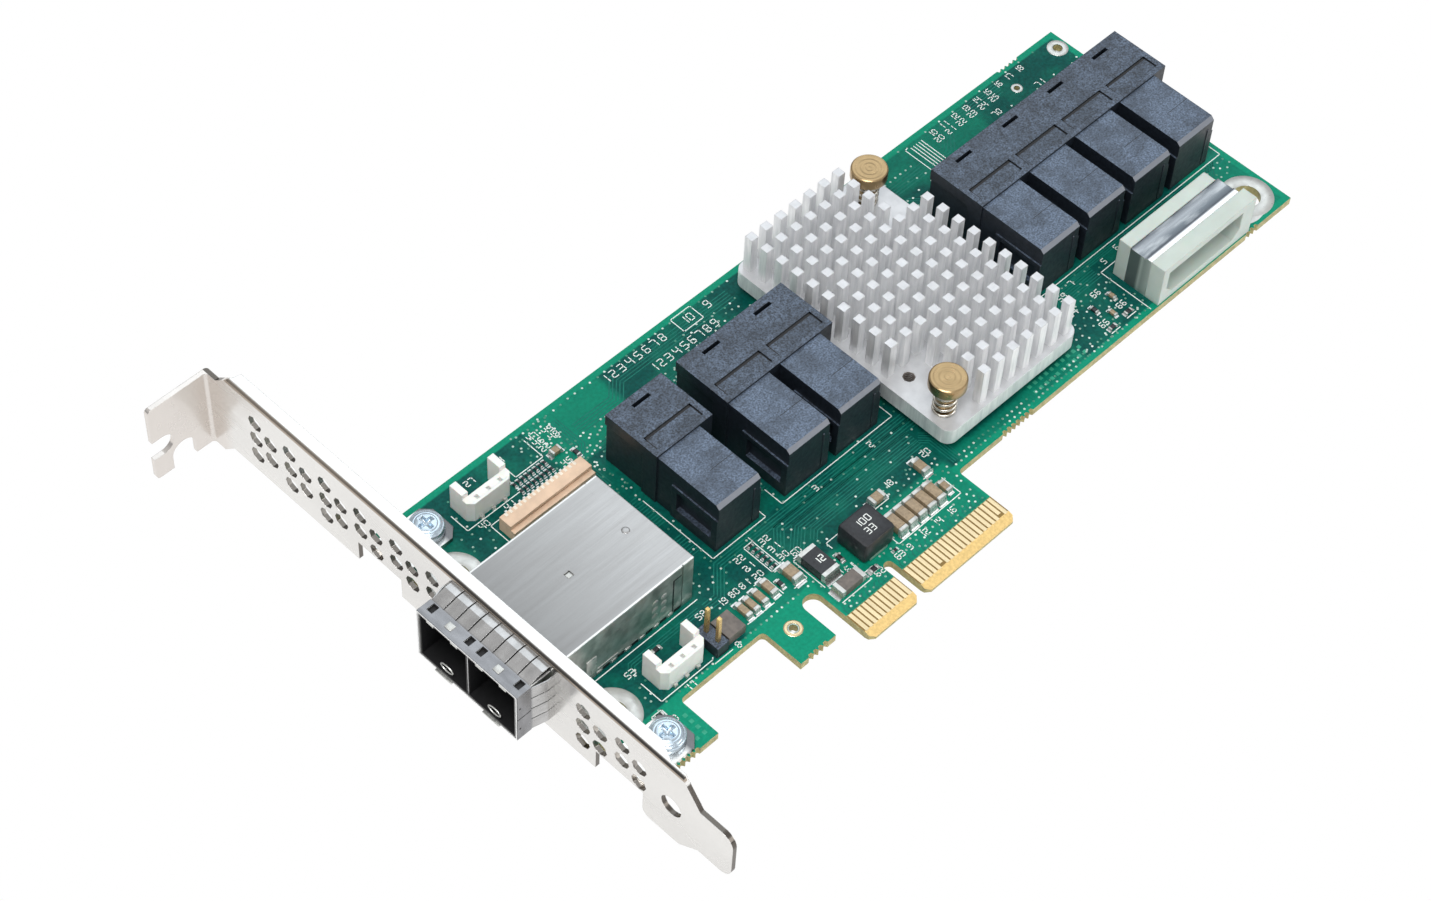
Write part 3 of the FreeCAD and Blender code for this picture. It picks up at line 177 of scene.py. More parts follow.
def round_boxes(boxes, radius):
    """Boxes with rounded edges: the sum of a smaller box and a ball, so a point is the corner that its
    direction faces plus the radius times that direction."""
    boxes = np.asarray(boxes, float)
    lows, highs = boxes[:, None, None, :3], boxes[:, None, None, 3:]
    rows, columns, most = 6, 12, 0.95
    quarter = np.radians(np.repeat(np.arange(4), 3) * 90 + 45)
    lon = quarter + np.radians(np.tile([-45, 0, 45], 4))
    lat = np.radians([-90, -45, 0, 0, 45, 90])[:, None]
    flat = np.ones(columns)
    ball = np.stack([np.cos(lat) * np.cos(lon), np.cos(lat) * np.sin(lon), np.sin(lat) * flat], -1)
    up = np.array([-1, -1, -1, 1, 1, 1])[:, None] * flat
    facing = np.stack([np.sign(np.cos(quarter)) + 0 * up, np.sign(np.sin(quarter)) + 0 * up, up], -1)
    half = (highs - lows) / 2
    r = np.minimum(radius, half.min(-1, keepdims=True) * most)
    points = (lows + highs) / 2 + (half - r) * facing + r * ball
    corners = np.arange(1, columns, 3)
    lids = [corners[::-1], corners + (rows - 1) * columns]
    one = np.concatenate([grid_faces(rows, columns, True), lids])
    faces = one[None] + np.arange(len(boxes))[:, None, None] * rows * columns
    return points.reshape(-1, 3), faces.reshape(-1, 4).tolist()


def turned(profile, centres, sides):
    """A profile of (radius, level) turned round the upright axis through each centre."""
    profile = np.asarray(profile, float)
    level = np.broadcast_to(profile[:, None, 1:], (len(profile), sides, 1))
    rings = np.concatenate([profile[:, None, :1] * circle(sides), level], -1)
    base = np.pad(np.asarray(centres, float), ((0, 0), (0, 1)))
    points = (base[:, None, None] + rings[None]).reshape(-1, 3)
    step = np.arange(len(base))[:, None, None] * len(profile) * sides
    return points, (grid_faces(len(profile), sides, True)[None] + step).reshape(-1, 4).tolist()


def tube(path, across, upward, radius, sides, closed=False):
    """A round profile carried along a path: each ring is spanned by two unit vectors given along it."""
    cosine, sine = circle(sides).T[..., None]
    ring = cosine * across[:, None] + sine * upward[:, None]
    points = (path[:, None] + radius * ring).reshape(-1, 3)
    rows = np.arange(len(path) * sides).reshape(len(path), sides)
    if closed:
        rows = np.concatenate([rows, rows[:1]])
    beside = np.roll(rows, -1, axis=1)
    faces = np.stack([rows[:-1], rows[1:], beside[1:], beside[:-1]], -1).reshape(-1, 4).tolist()
    if not closed:
        faces += [rows[0].tolist(), rows[-1, ::-1].tolist()]
    return points, faces


def helix(at, low, high, wire, turns, outer):
    """A round wire along a helix whose climb starts and ends level, so the end turns lie flat."""
    level_share, steps = 0.11, 260
    s = np.linspace(0, 1, steps)
    rise = np.clip((s - level_share) / (1 - 2 * level_share), 0, 1)
    turn = s * turns * 2 * np.pi
    ring = np.stack([np.cos(turn), np.sin(turn), np.zeros_like(turn)], 1)
    up = np.broadcast_to([0.0, 0.0, 1.0], ring.shape)
    level = low + wire + rise * (high - low - 2 * wire)
    path = ring * (outer - wire) + np.array([at[0], at[1], 0.0]) + level[:, None] * up
    return tube(path, ring, up, wire, 12)


def oval_ring(middle, wide, tall, wire):
    """A round wire along an oval that stands across X."""
    ring = np.insert(circle(48), 0, 0.0, axis=1)
    toward = np.broadcast_to([1.0, 0.0, 0.0], ring.shape)
    return tube(np.array(middle) + ring * [0, wide, tall], ring, toward, wire, 8, closed=True)


def sleeve(xs, ys, zs, wall):
    """A square tube along X: outer and inner rectangle carried from end to end and closed at both ends."""
    corners = np.array([(0, 0), (1, 0), (1, 1), (0, 1)])
    outer = np.array([ys[0], zs[0]]) + corners * [ys[1] - ys[0], zs[1] - zs[0]]
    inner = outer + (1 - 2 * corners) * wall
    loops = [(xs[0], outer), (xs[1], outer), (xs[1], inner), (xs[0], inner), (xs[0], outer)]
    points = np.concatenate([np.insert(loop, 0, x, axis=1) for x, loop in loops])
    return points, grid_faces(5, 4, True).tolist()


def joined(shapes):
    """Several shapes as one list of points and faces."""
    points, faces, count = [], [], 0
    for some_points, some_faces in shapes:
        points.append(some_points)
        faces += [[corner + count for corner in face] for face in some_faces]
        count += len(some_points)
    return np.concatenate(points), faces


def lines_of(paths):
    """Starts and ends of the straight runs of several bent lines."""
    starts = np.concatenate([np.asarray(path, float)[:-1] for path in paths])
    ends = np.concatenate([np.asarray(path, float)[1:] for path in paths])
    return starts, ends


def bundle(path, count, pitch):
    """Parallel copies of a bent line, each shifted along the mitre of the line's two normals at a bend."""
    path = np.asarray(path, float)
    along = np.diff(path, axis=0)
    along /= np.linalg.norm(along, axis=1, keepdims=True)
    normal = np.stack([-along[:, 1], along[:, 0]], 1)
    before, after = np.concatenate([normal[:1], normal]), np.concatenate([normal, normal[-1:]])
    mitre = (before + after) / (1 + np.sum(before * after, 1, keepdims=True))
    shift = (np.arange(count) - (count - 1) / 2) * pitch
    return list(path[None] + shift[:, None, None] * mitre[None])


# Strokes of a digit one unit high, which of them each digit has, and the step from digit to digit
STROKES = {
    "a": ((0, 1), (0.6, 1)), "b": ((0.6, 1), (0.6, 0.5)), "c": ((0.6, 0.5), (0.6, 0)),
    "d": ((0, 0), (0.6, 0)), "e": ((0, 0), (0, 0.5)), "f": ((0, 0.5), (0, 1)), "g": ((0, 0.5), (0.6, 0.5)),
}
DIGITS = ["abcdef", "bc", "abged", "abgcd", "fgbc", "afgcd", "afgedc", "abc", "abcdefg", "abcdfg"]
DIGIT_STEP = 0.95


def number_lines(number, at, height):
    """Plain digits made of straight strokes, reading along X."""
    paths = []
    for place, digit in enumerate(str(number)):
        shift = np.array(at) + [place * height * DIGIT_STEP, 0]
        paths += [shift + height * np.array(STROKES[stroke]) for stroke in DIGITS[int(digit)]]
    return paths


def make_piece(name, shape, finish, sharp=40, stands_for=()):
    """One object at the origin from points in millimetres and faces, welded, smooth below the sharp angle."""
    points, faces = shape
    mesh = bpy.data.meshes.new(name)
    mesh.from_pydata((np.asarray(points) * MM).tolist(), [], faces)
    work = bmesh.new()
    work.from_mesh(mesh)
    bmesh.ops.remove_doubles(work, verts=work.verts, dist=WELD)
    work.to_mesh(mesh)
    work.free()
    mesh.polygons.foreach_set("use_smooth", [True] * len(mesh.polygons))
    mesh.set_sharp_from_angle(angle=math.radians(sharp))
    mesh.materials.append(FINISHES[finish])
    piece = bpy.data.objects.new(name, mesh)
    bpy.context.scene.collection.objects.link(piece)
    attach(piece, "root")
    if stands_for:
        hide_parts(*stands_for)


# Finishes
def toned(colour, share):
    """A colour made lighter or darker by a share."""
    return [c * share for c in colour]


class Finish:
    """Lays the nodes of one material. Patterns read Object coordinates, in metres."""

    def __init__(self, name, colour, roughness, metallic=0.0, **sockets):
        self.material = bpy.data.materials.new(name)
        self.material.use_nodes = True
        self.tree = self.material.node_tree
        self.shader = self.tree.nodes["Principled BSDF"]
        self.colour = tuple(colour)
        self.set("Base Color", (*colour, 1.0))
        self.set("Roughness", roughness)
        self.set("Metallic", metallic)
        for socket, value in sockets.items():
            self.set(socket.replace("_", " "), value)
        self.spot = self.add("ShaderNodeTexCoord").outputs["Object"]

    def set(self, socket, value):
        self.shader.inputs[socket].default_value = value

    def add(self, kind, **settings):
        node = self.tree.nodes.new(kind)
        for key, value in settings.items():
            setattr(node, key, value)
        return node

    def feed(self, socket, source):
        self.tree.links.new(source, socket)

    def noise(self, per_mm, detail=3.0, stretch=(1, 1, 1)):
        """Noise with so many features to the millimetre, drawn out along the axes by the stretch."""
        mapping = self.add("ShaderNodeMapping")
        mapping.inputs["Scale"].default_value = [per_mm / MM / s for s in stretch]
        self.feed(mapping.inputs["Vector"], self.spot)
        texture = self.add("ShaderNodeTexNoise")
        texture.inputs["Scale"].default_value = 1.0
        texture.inputs["Detail"].default_value = detail
        self.feed(texture.inputs["Vector"], mapping.outputs["Vector"])
        return texture.outputs["Fac"]

    def ramp(self, source, stops):
        """Colours along a factor."""
        node = self.add("ShaderNodeValToRGB")
        elements = node.color_ramp.elements
        for place, (at, colour) in enumerate(stops):
            element = elements[place] if place < 2 else elements.new(at)
            element.position = at
            element.color = (*colour, 1.0)
        self.feed(node.inputs["Fac"], source)
        return node.outputs["Color"]

    def shades(self, colour, per_mm, spread, detail=3.0, stretch=(1, 1, 1)):
        """A colour lightened and darkened by noise."""
        dark, light = toned(colour, 1 - spread), np.minimum(1.0, toned(colour, 1 + spread))
        return self.ramp(self.noise(per_mm, detail, stretch), [(0.3, dark), (0.7, light)])

    def span(self, source, low, high, start=0.0, end=1.0):
        """A value carried from one range to another, held at its ends."""
        node = self.add("ShaderNodeMapRange")
        for socket, value in zip(("From Min", "From Max", "To Min", "To Max"), (start, end, low, high)):
            node.inputs[socket].default_value = value
        self.feed(node.inputs["Value"], source)
        return node.outputs["Result"]

    def math(self, operation, *values):
        node = self.add("ShaderNodeMath", operation=operation)
        for socket, value in zip(node.inputs, values):
            if isinstance(value, (int, float)):
                socket.default_value = value
            else:
                self.feed(socket, value)
        return node.outputs[0]

    def both(self, first, second):
        return self.math("MULTIPLY", first, second)

    def either(self, first, second):
        return self.math("MAXIMUM", first, second)

    def rest(self, share):
        """What a share leaves of one."""
        return self.math("SUBTRACT", 1.0, share)

    def blend(self, factor, first, second):
        """Two colours mixed by a factor."""
        node = self.add("ShaderNodeMix", data_type="RGBA")
        self.feed(node.inputs["Factor"], factor)
        for socket, value in zip((node.inputs[6], node.inputs[7]), (first, second)):
            if isinstance(value, (tuple, list)):
                socket.default_value = (*value, 1.0)
            else:
                self.feed(socket, value)
        return node.outputs[2]

    def paint(self, source):
        self.feed(self.shader.inputs["Base Color"], source)
        return self

    def mottle(self, per_mm, spread, stretch=(1, 1, 1)):
        """The base colour lightened and darkened by noise."""
        return self.paint(self.shades(self.colour, per_mm, spread, stretch=stretch))

    def wear(self, per_mm, low, high, stretch=(1, 1, 1)):
        """Roughness that varies with noise."""
        rough = self.span(self.noise(per_mm, 4.0, stretch), low, high, 0.3, 0.7)
        self.feed(self.shader.inputs["Roughness"], rough)
        return self

    def relief(self, per_mm, depth, stretch=(1, 1, 1), edge=0.0):
        """Bump from noise, over edges that shade as if rounded."""
        bump = self.add("ShaderNodeBump")
        bump.inputs["Strength"].default_value = 1.0
        bump.inputs["Distance"].default_value = depth * MM
        self.feed(bump.inputs["Height"], self.noise(per_mm, 2.0, stretch))
        if edge:
            soft = self.add("ShaderNodeBevel", samples=4)
            soft.inputs["Radius"].default_value = edge * MM
            self.feed(bump.inputs["Normal"], soft.outputs["Normal"])
        self.feed(self.shader.inputs["Normal"], bump.outputs["Normal"])
        return self

    def axis(self, name):
        """One of the Object coordinates."""
        node = self.add("ShaderNodeSeparateXYZ")
        self.feed(node.inputs[0], self.spot)
        return node.outputs[name]

    def facing(self, direction, start=0.5, end=0.8):
        """One where the true face looks along a direction, nought where it looks elsewhere."""
        geometry = self.add("ShaderNodeNewGeometry")
        dot = self.add("ShaderNodeVectorMath", operation="DOT_PRODUCT")
        self.feed(dot.inputs[0], geometry.outputs["True Normal"])
        dot.inputs[1].default_value = np.array(direction) / np.linalg.norm(direction)
        return self.span(dot.outputs["Value"], 0.0, 1.0, start, end)

    def across(self, direction, start=0.5, end=0.8):
        """One where the true face looks along a direction or against it."""
        against = self.facing(np.negative(direction), start, end)
        return self.either(self.facing(direction, start, end), against)

    def between(self, name, low, high, soft=0.1):
        """One between two planes across an axis, in millimetres."""
        value = self.axis(name)
        rise = self.span(value, 0.0, 1.0, (low - soft) * MM, (low + soft) * MM)
        fall = self.span(value, 1.0, 0.0, (high - soft) * MM, (high + soft) * MM)
        return self.both(rise, fall)

    def within(self, xs, ys, soft=0.15):
        """One inside a rectangle of the board and nought outside it."""
        return self.both(self.between("X", *xs, soft), self.between("Y", *ys, soft))


# Rectangles of the board where bare laminate shows brighter through the mask, and how much
BRIGHT_PATCHES = [
    ((-12.0, 22.0), (5.8, 16.0), 0.75), ((-24.0, -7.0), (56.5, 68.0), 0.75),
    ((24.0, 56.0), (13.0, 16.5), 0.5), ((98.0, 110.0), (12.0, 30.0), 0.6),
    ((-26.0, -11.0), (13.0, 20.0), 0.55), ((60.0, 84.0), (60.0, 68.0), 0.35),
]


def board_finish(colours):
    """Solder mask: dark over copper, bright over bare laminate near the edges; tan on the cut edges and bare
    yellow laminate round the edge contacts."""
    mask = Finish("board_mask", colours.mask_over_copper, 0.34, Specular_IOR_Level=0.09)
    inset = 1.2
    body_xs = (BOARD_LOW[0] + inset, BOARD_HIGH[0] - inset)
    body_ys = (BODY_EDGE + inset, BOARD_HIGH[1] - inset)
    neck_xs = (FINGERS_LOW[0] + NECK_INSET, FINGERS_HIGH[0] - NECK_INSET)
    neck = mask.within(neck_xs, (MASK_EDGE + 0.2, BODY_EDGE + 2))
    copper = mask.either(mask.within(body_xs, body_ys), neck)
    for xs, ys, share in BRIGHT_PATCHES:
        opened = mask.both(mask.within(xs, ys, 0.6), -share)
        copper = mask.both(copper, mask.math("ADD", opened, 1.0))
    copper = mask.both(copper, mask.span(mask.noise(0.13), 1.0, 0.72, 0.45, 0.6))
    dark = mask.shades(colours.mask_over_copper, 1.6, 0.25)
    bright = mask.shades(colours.mask_over_laminate, 1.6, 0.12)
    face = mask.blend(copper, bright, dark)
    yellow, brown, tan = (0.76, 0.54, 0.22), (0.26, 0.17, 0.06), (0.44, 0.39, 0.19)
    finger_xs, bevel = (FINGERS_LOW[0] - 1.0, FINGERS_HIGH[0] + 1.0), 1.75
    between_fingers = mask.within(finger_xs, (bevel, MASK_EDGE), 0.05)
    bare = mask.blend(between_fingers, mask.shades(yellow, 2.2, 0.12, 2.0), brown)
    upper = mask.blend(mask.within(finger_xs, (-1.0, MASK_EDGE), 0.05), face, bare)
    lying = mask.across((0, 0, 1), 0.4, 0.6)
    mask.paint(mask.blend(lying, mask.shades(tan, 1.2, 0.25), upper))
    return mask.wear(0.5, 0.28, 0.44).relief(2.5, 0.005)


def trace_finish():
    """Mask over a copper line."""
    trace = Finish("mask_over_trace", (0.010, 0.165, 0.125), 0.36, Specular_IOR_Level=0.12)
    return trace.mottle(1.0, 0.2).wear(0.8, 0.3, 0.44)


def square_finish():
    """Mask over the spare copper squares."""
    square = Finish("mask_over_square", (0.04, 0.33, 0.21), 0.36, Specular_IOR_Level=0.12)
    return square.mottle(1.5, 0.15).wear(0.8, 0.3, 0.44)


def print_finish(colour):
    """White print."""
    return Finish("print_white", colour, 0.6).mottle(3.0, 0.06).relief(5.0, 0.004)


def via_finish():
    """Vias filled with tin, many of them under mask."""
    via = Finish("via_tin", (0.50, 0.62, 0.52), 0.4, 0.25)
    covered, bare = (0.05, 0.24, 0.16), (0.72, 0.80, 0.74)
    return via.paint(via.ramp(via.noise(0.45, 2.0), [(0.42, covered), (0.6, bare)])).wear(1.5, 0.3, 0.5)


def gold_finish():
    """Gold plate, brushed along the contacts."""
    gold = Finish("contact_gold", (0.71, 0.57, 0.345), 0.27, 0.85).mottle(0.9, 0.07, stretch=(1, 6, 1))
    return gold.wear(1.4, 0.2, 0.36, (1, 8, 1)).relief(5.0, 0.002, stretch=(1, 8, 1))


def post_finish():
    """Drawn brass with a thin gold plate."""
    post = Finish("post_gold", (0.72, 0.50, 0.20), 0.3, 0.9).mottle(1.5, 0.12, stretch=(1, 1, 5))
    return post.wear(2.0, 0.22, 0.4).relief(4.0, 0.003, stretch=(1, 1, 8), edge=0.08)


def tin_finish():
    """Dull tin plate."""
    tin = Finish("bare_tin", (0.62, 0.625, 0.60), 0.36, 0.75).mottle(0.7, 0.1)
    return tin.wear(1.1, 0.26, 0.46).relief(2.2, 0.008)


def solder_finish():
    """Bright solder."""
    solder = Finish("solder", (0.66, 0.67, 0.66), 0.26, 0.9).mottle(1.4, 0.14)
    return solder.wear(2.0, 0.18, 0.36).relief(2.5, 0.012)


def zinc_finish():
    """Bluish zinc plate."""
    zinc = Finish("screw_zinc", (0.62, 0.73, 0.82), 0.24, 0.92).mottle(0.8, 0.12)
    return zinc.wear(1.5, 0.16, 0.32).relief(4.0, 0.003)


def sink_finish(colour):
    """Satin aluminium: faint upright streaks on the pins, with painted shade making what looks up darker."""
    satin = Finish("sink_satin", colour, 0.4, 0.38)
    streaks = satin.shades(colour, 1.1, 0.22, stretch=(1, 1, 9))
    # Painted shade: every face that looks up is darker
    upper = satin.shades(toned(colour, 0.68), 0.6, 0.07)
    satin.paint(satin.blend(satin.facing((0, 0, 1)), streaks, upper))
    return satin.wear(0.8, 0.28, 0.42).relief(6.0, 0.004, edge=0.14)


def brass_finish(colour):
    """Turned brass."""
    brass = Finish("knob_brass", colour, 0.3, 0.95).mottle(0.6, 0.06)
    return brass.wear(0.8, 0.26, 0.34).relief(2.0, 0.0008)


def wire_finish():
    """Drawn spring wire."""
    wire = Finish("spring_wire", (0.66, 0.63, 0.56), 0.24, 0.95).mottle(1.0, 0.12)
    return wire.wear(1.5, 0.18, 0.34).relief(3.0, 0.002)


def nickel_finish(colour):
    """Bright nickel, with painted shade on the cut edges of the sheet, a painted highlight on the vent walls
    that face up and forward, a tan painted reflection and a dark line of painted shade along its long bend,
    and painted shade on the ends of its tabs.
    """
    nickel = Finish("bracket_nickel", colour, 0.24, 0.92)
    warm_ear, shaded_tab, bend_reflection = (0.75, 0.705, 0.665), (0.16, 0.16, 0.165), (0.44, 0.375, 0.31)
    # Painted shade on the cut edges of the sheet, and a painted highlight on the vent walls that face up and
    # forward
    shaded_wall, lit_wall = (0.14, 0.125, 0.11), (0.62, 0.59, 0.55)
    deep_bend_shade, faint_bend_shade = (0.11, 0.10, 0.09), (0.34, 0.29, 0.24)
    plain = nickel.shades(colour, 0.05, 0.08, stretch=(1, 3, 1))
    warm = nickel.blend(nickel.between("Y", *EAR_YS, 1.5), plain, warm_ear)
    sheet = nickel.between("X", FACE_OUT + 0.05, FACE_IN - 0.05, 0.02)
    edge = nickel.both(sheet, nickel.rest(nickel.across((1, 0, 0))))
    below = nickel.between("Z", -10.0, FLANGE_TOP - 1.3, 0.1)
    lit = nickel.both(nickel.facing((0, -0.7, 0.7), 0.88, 0.97), nickel.between("Y", *VENT_YS))
    cut = nickel.blend(nickel.both(edge, below), warm, nickel.blend(lit, shaded_wall, lit_wall))
    # A tan painted reflection and a dark line of painted shade along the long bend, the line fading along Y
    corner = nickel.between("X", FACE_OUT - 0.1, FACE_OUT + 0.6, 0.03)
    tan = nickel.both(corner, nickel.between("Z", FLANGE_TOP - 0.7, FLANGE_TOP - 0.32, 0.04))
    line = nickel.both(corner, nickel.between("Z", FLANGE_TOP - 0.34, FLANGE_TOP - 0.03, 0.03))
    fading = nickel.span(nickel.axis("Y"), 0.0, 1.0, FADE_YS[0] * MM, FADE_YS[1] * MM)
    bend_shade = nickel.blend(fading, deep_bend_shade, faint_bend_shade)
    bent = nickel.blend(line, nickel.blend(tan, cut, bend_reflection), bend_shade)
    # Painted shade on the ends of the tabs
    nickel.paint(nickel.blend(nickel.between("X", TAB_SHADE, 0.0, 0.7), bent, shaded_tab))
    return nickel.wear(0.35, 0.18, 0.3, (1, 5, 1)).relief(6.0, 0.001, stretch=(1, 14, 1), edge=0.12)


def cage_finish(name, colour, edge):
    """Brushed tin with grain along X, painted shade that darkens the roof toward the bracket, painted mottled
    reflections on the sides and a painted highlight along the long edges.
    """
    tin = Finish(name, colour, 0.34, 0.9)
    grain = tin.shades(colour, 7.0, 0.06, stretch=(40, 1, 1))
    # Painted shade: the roof darkens toward the bracket
    front = tin.span(tin.axis("X"), 1.0, 0.0, FACE_IN * MM, CAGE_HIGH[0] * MM)
    roof = tin.blend(front, grain, toned(colour, 0.56))
    dim_sheen, clear, bright = (0.40, 0.41, 0.39), (0.72, 0.73, 0.70), (0.84, 0.84, 0.82)
    # Painted reflections: the upright sides are mottled between dark and light
    side = tin.ramp(tin.noise(0.45, 3.0), [(0.34, dim_sheen), (0.66, clear)])
    faces = tin.blend(tin.across((0, -1, 0)), roof, side)
    # Painted highlight along the long edges of the roof
    wide, blur, above = 0.3, 0.08, 20.0
    inner = tin.between("Y", CAGE_LOW[1] + wide, CAGE_HIGH[1] - wide, blur)
    rim = tin.both(tin.rest(inner), tin.between("Z", CAGE_HIGH[2] - wide, above, blur))
    tin.paint(tin.blend(rim, faces, bright)).wear(1.2, 0.28, 0.4, (20, 1, 1))
    return tin.relief(8.0, 0.0007, stretch=(40, 1, 1), edge=edge)


def rim_finish():
    """Cut edges of thin sheet, painted bright as their highlight."""
    rim = Finish("rim_highlight", (0.86, 0.86, 0.85), 0.42, 0.3)
    return rim.mottle(0.8, 0.08, stretch=(1, 3, 3)).wear(1.0, 0.3, 0.5)


def collar_finish():
    """Spring tin: a speckled band in front painted darker as shade, and bent fingers behind painted brighter
    as their highlight.
    """
    tin = Finish("collar_tin", (0.62, 0.63, 0.65), 0.26, 0.92)
    # The band's dark and the fingers' brightness are painted shade and painted highlight on one tin
    band = tin.shades((0.255, 0.255, 0.265), 0.6, 0.2, stretch=(1, 4, 4))
    lit_fingers = tin.shades((0.50, 0.495, 0.49), 0.5, 0.16, stretch=(3, 1, 1))
    behind = tin.span(tin.axis("X"), 0.0, 1.0, (COLLAR_END - 0.1) * MM, (COLLAR_END + 0.3) * MM)
    return tin.paint(tin.blend(behind, band, lit_fingers)).wear(0.7, 0.18, 0.3).relief(0.4, 0.002, edge=0.08)


def strap_finish():
    """Polished strap: light and dark bands across it, painted as the reflections of its bends mirroring the
    light, and duller, rougher ends painted with lit and shaded bands.
    """
    steel = Finish("strap_steel", (0.7, 0.72, 0.75), 0.2, 0.9)
    low, high = box_mm("power_strap")
    across = steel.span(steel.axis("Y"), 0.0, 1.0, low[1] * MM, high[1] * MM)
    # Painted reflections: bands from white to dark across the strap
    white, dark, band = (0.90, 0.90, 0.90), (0.09, 0.10, 0.115), (0.16, 0.18, 0.20)
    pale, cloud = (0.34, 0.36, 0.38), (0.62, 0.64, 0.65)
    stops = [(0.0, white), (0.14, white), (0.22, dark), (0.45, band), (0.72, pale), (1.0, dark)]
    blotch = steel.span(steel.noise(0.5, 3.0, (4, 1, 1)), 0.0, 0.5, 0.52, 0.68)
    top = steel.blend(blotch, steel.ramp(across, stops), cloud)
    # Painted light and shade in bands across the end faces
    lit, grey, shaded = (0.86, 0.85, 0.82), (0.62, 0.62, 0.60), (0.26, 0.28, 0.28)
    end = steel.ramp(across, [(0.0, lit), (0.3, grey), (0.42, lit), (0.55, shaded), (1.0, shaded)])
    at_end = steel.facing((-1, 0, 0))
    steel.paint(steel.blend(at_end, top, end))
    steel.feed(steel.shader.inputs["Roughness"], steel.span(at_end, 0.22, 0.5))
    return steel.relief(0.5, 0.006, stretch=(4, 1, 1), edge=0.15)


def socket_finish(colour):
    """Moulded black plastic: a fine bluish grain, with the tops painted paler as their sheen and a painted
    highlight on the front bevels.
    """
    plastic = Finish("socket_black", colour, 0.42)
    side = plastic.shades(colour, 1.6, 0.35)
    grain = plastic.noise(3.2, 4.0)
    # Painted sheen: the tops of the hoods and wafers are paler than the sides, dimmed in patches by noise
    hood = plastic.ramp(grain, [(0.36, toned(colour, 1.7)), (0.68, toned(colour, 9.6))])
    wafer = plastic.ramp(grain, [(0.34, toned(colour, 3.6)), (0.68, toned(colour, 12.5))])
    top = plastic.blend(plastic.between("Z", WAFER_TOP - 0.3, WAFER_TOP + 0.2, 0.05), hood, wafer)
    dim_sheen = plastic.span(plastic.noise(0.3, 3.0), 0.0, 0.45, 0.42, 0.62)
    upper = plastic.blend(dim_sheen, top, plastic.colour)
    painted = plastic.blend(plastic.facing((0, 0, 1)), side, upper)
    # Painted highlight on the bevels that face forward and up
    bevel, bevel_highlight = plastic.facing((0, -1, 1), 0.9, 0.97), (0.17, 0.185, 0.215)
    plastic.paint(plastic.blend(bevel, painted, bevel_highlight))
    return plastic.wear(1.4, 0.34, 0.5).relief(4.5, 0.012, edge=0.16)


def package_finish():
    """Moulded black of chips and coil."""
    package = Finish("moulded_black", (0.018, 0.020, 0.024), 0.38).mottle(2.0, 0.3)
    return package.wear(1.5, 0.3, 0.46).relief(5.0, 0.008, edge=0.12)


def shade_finish():
    """Near black of the outer ports' receptacles and of seams, and painted shade in the ports' linings, in
    slots and along the labels.
    """
    return Finish("port_black", (0.006, 0.006, 0.007), 0.5).mottle(1.0, 0.3).relief(3.0, 0.006)


def pad_finish():
    """Grey thermal compound."""
    return Finish("thermal_pad", (0.40, 0.41, 0.43), 0.7).mottle(1.0, 0.12).relief(3.0, 0.02)


# How nylon lets some light in
NYLON = {"Subsurface_Weight": 0.2, "Subsurface_Scale": 0.0008}


def nylon_finish(colour):
    """Pale nylon of the power socket."""
    nylon = Finish("power_nylon", colour, 0.36, **NYLON).mottle(0.25, 0.05)
    return nylon.wear(0.8, 0.28, 0.44).relief(3.0, 0.004, edge=0.3)


def white_finish():
    """White nylon of the headers."""
    white = Finish("header_white", (0.86, 0.86, 0.82), 0.38, **NYLON)
    return white.mottle(0.6, 0.04).wear(1.0, 0.3, 0.46).relief(3.0, 0.004, edge=0.2)


def beige_finish(colour):
    """Beige plastic of the ribbon socket."""
    beige = Finish("ribbon_beige", colour, 0.42).mottle(0.7, 0.08)
    return beige.wear(1.2, 0.36, 0.5).relief(3.0, 0.006, edge=0.14)


def cream_finish():
    """Paler plastic of the ribbon socket's teeth."""
    return Finish("ribbon_cream", (0.86, 0.78, 0.66), 0.42).mottle(1.0, 0.06).wear(1.2, 0.34, 0.5)


def ceramic_finish():
    """Brown capacitor ceramic."""
    ceramic = Finish("capacitor_brown", (0.33, 0.25, 0.16), 0.38).mottle(2.0, 0.22)
    return ceramic.wear(1.5, 0.3, 0.46).relief(5.0, 0.004)


def ferrite_finish():
    """Grey brown ferrite."""
    ferrite = Finish("bead_ferrite", (0.15, 0.13, 0.115), 0.42).mottle(1.2, 0.25)
    return ferrite.wear(1.2, 0.34, 0.52).relief(4.0, 0.008, edge=0.15)


def all_finishes(colours):
    """Every finish of the card, by a short name."""
    return {
        "board": board_finish(colours), "trace": trace_finish(), "square": square_finish(),
        "via": via_finish(), "print": print_finish(colours.print_white), "gold": gold_finish(),
        "post": post_finish(), "tin": tin_finish(), "solder": solder_finish(), "zinc": zinc_finish(),
        "wire": wire_finish(),
        "sink": sink_finish(colours.heatsink), "brass": brass_finish(colours.knob), "pad": pad_finish(),
        "nickel": nickel_finish(colours.bracket), "collar": collar_finish(), "rim": rim_finish(),
        "cage": cage_finish("cage_tin", colours.cage, 0.22),
        "roof": cage_finish("cage_roof", colours.cage, 0.0),
        "strap": strap_finish(), "black": socket_finish(colours.socket), "package": package_finish(),
        "shade": shade_finish(), "nylon": nylon_finish(colours.power), "white": white_finish(),
        "beige": beige_finish(colours.ribbon), "cream": cream_finish(), "ceramic": ceramic_finish(),
        "ferrite": ferrite_finish(),
    }


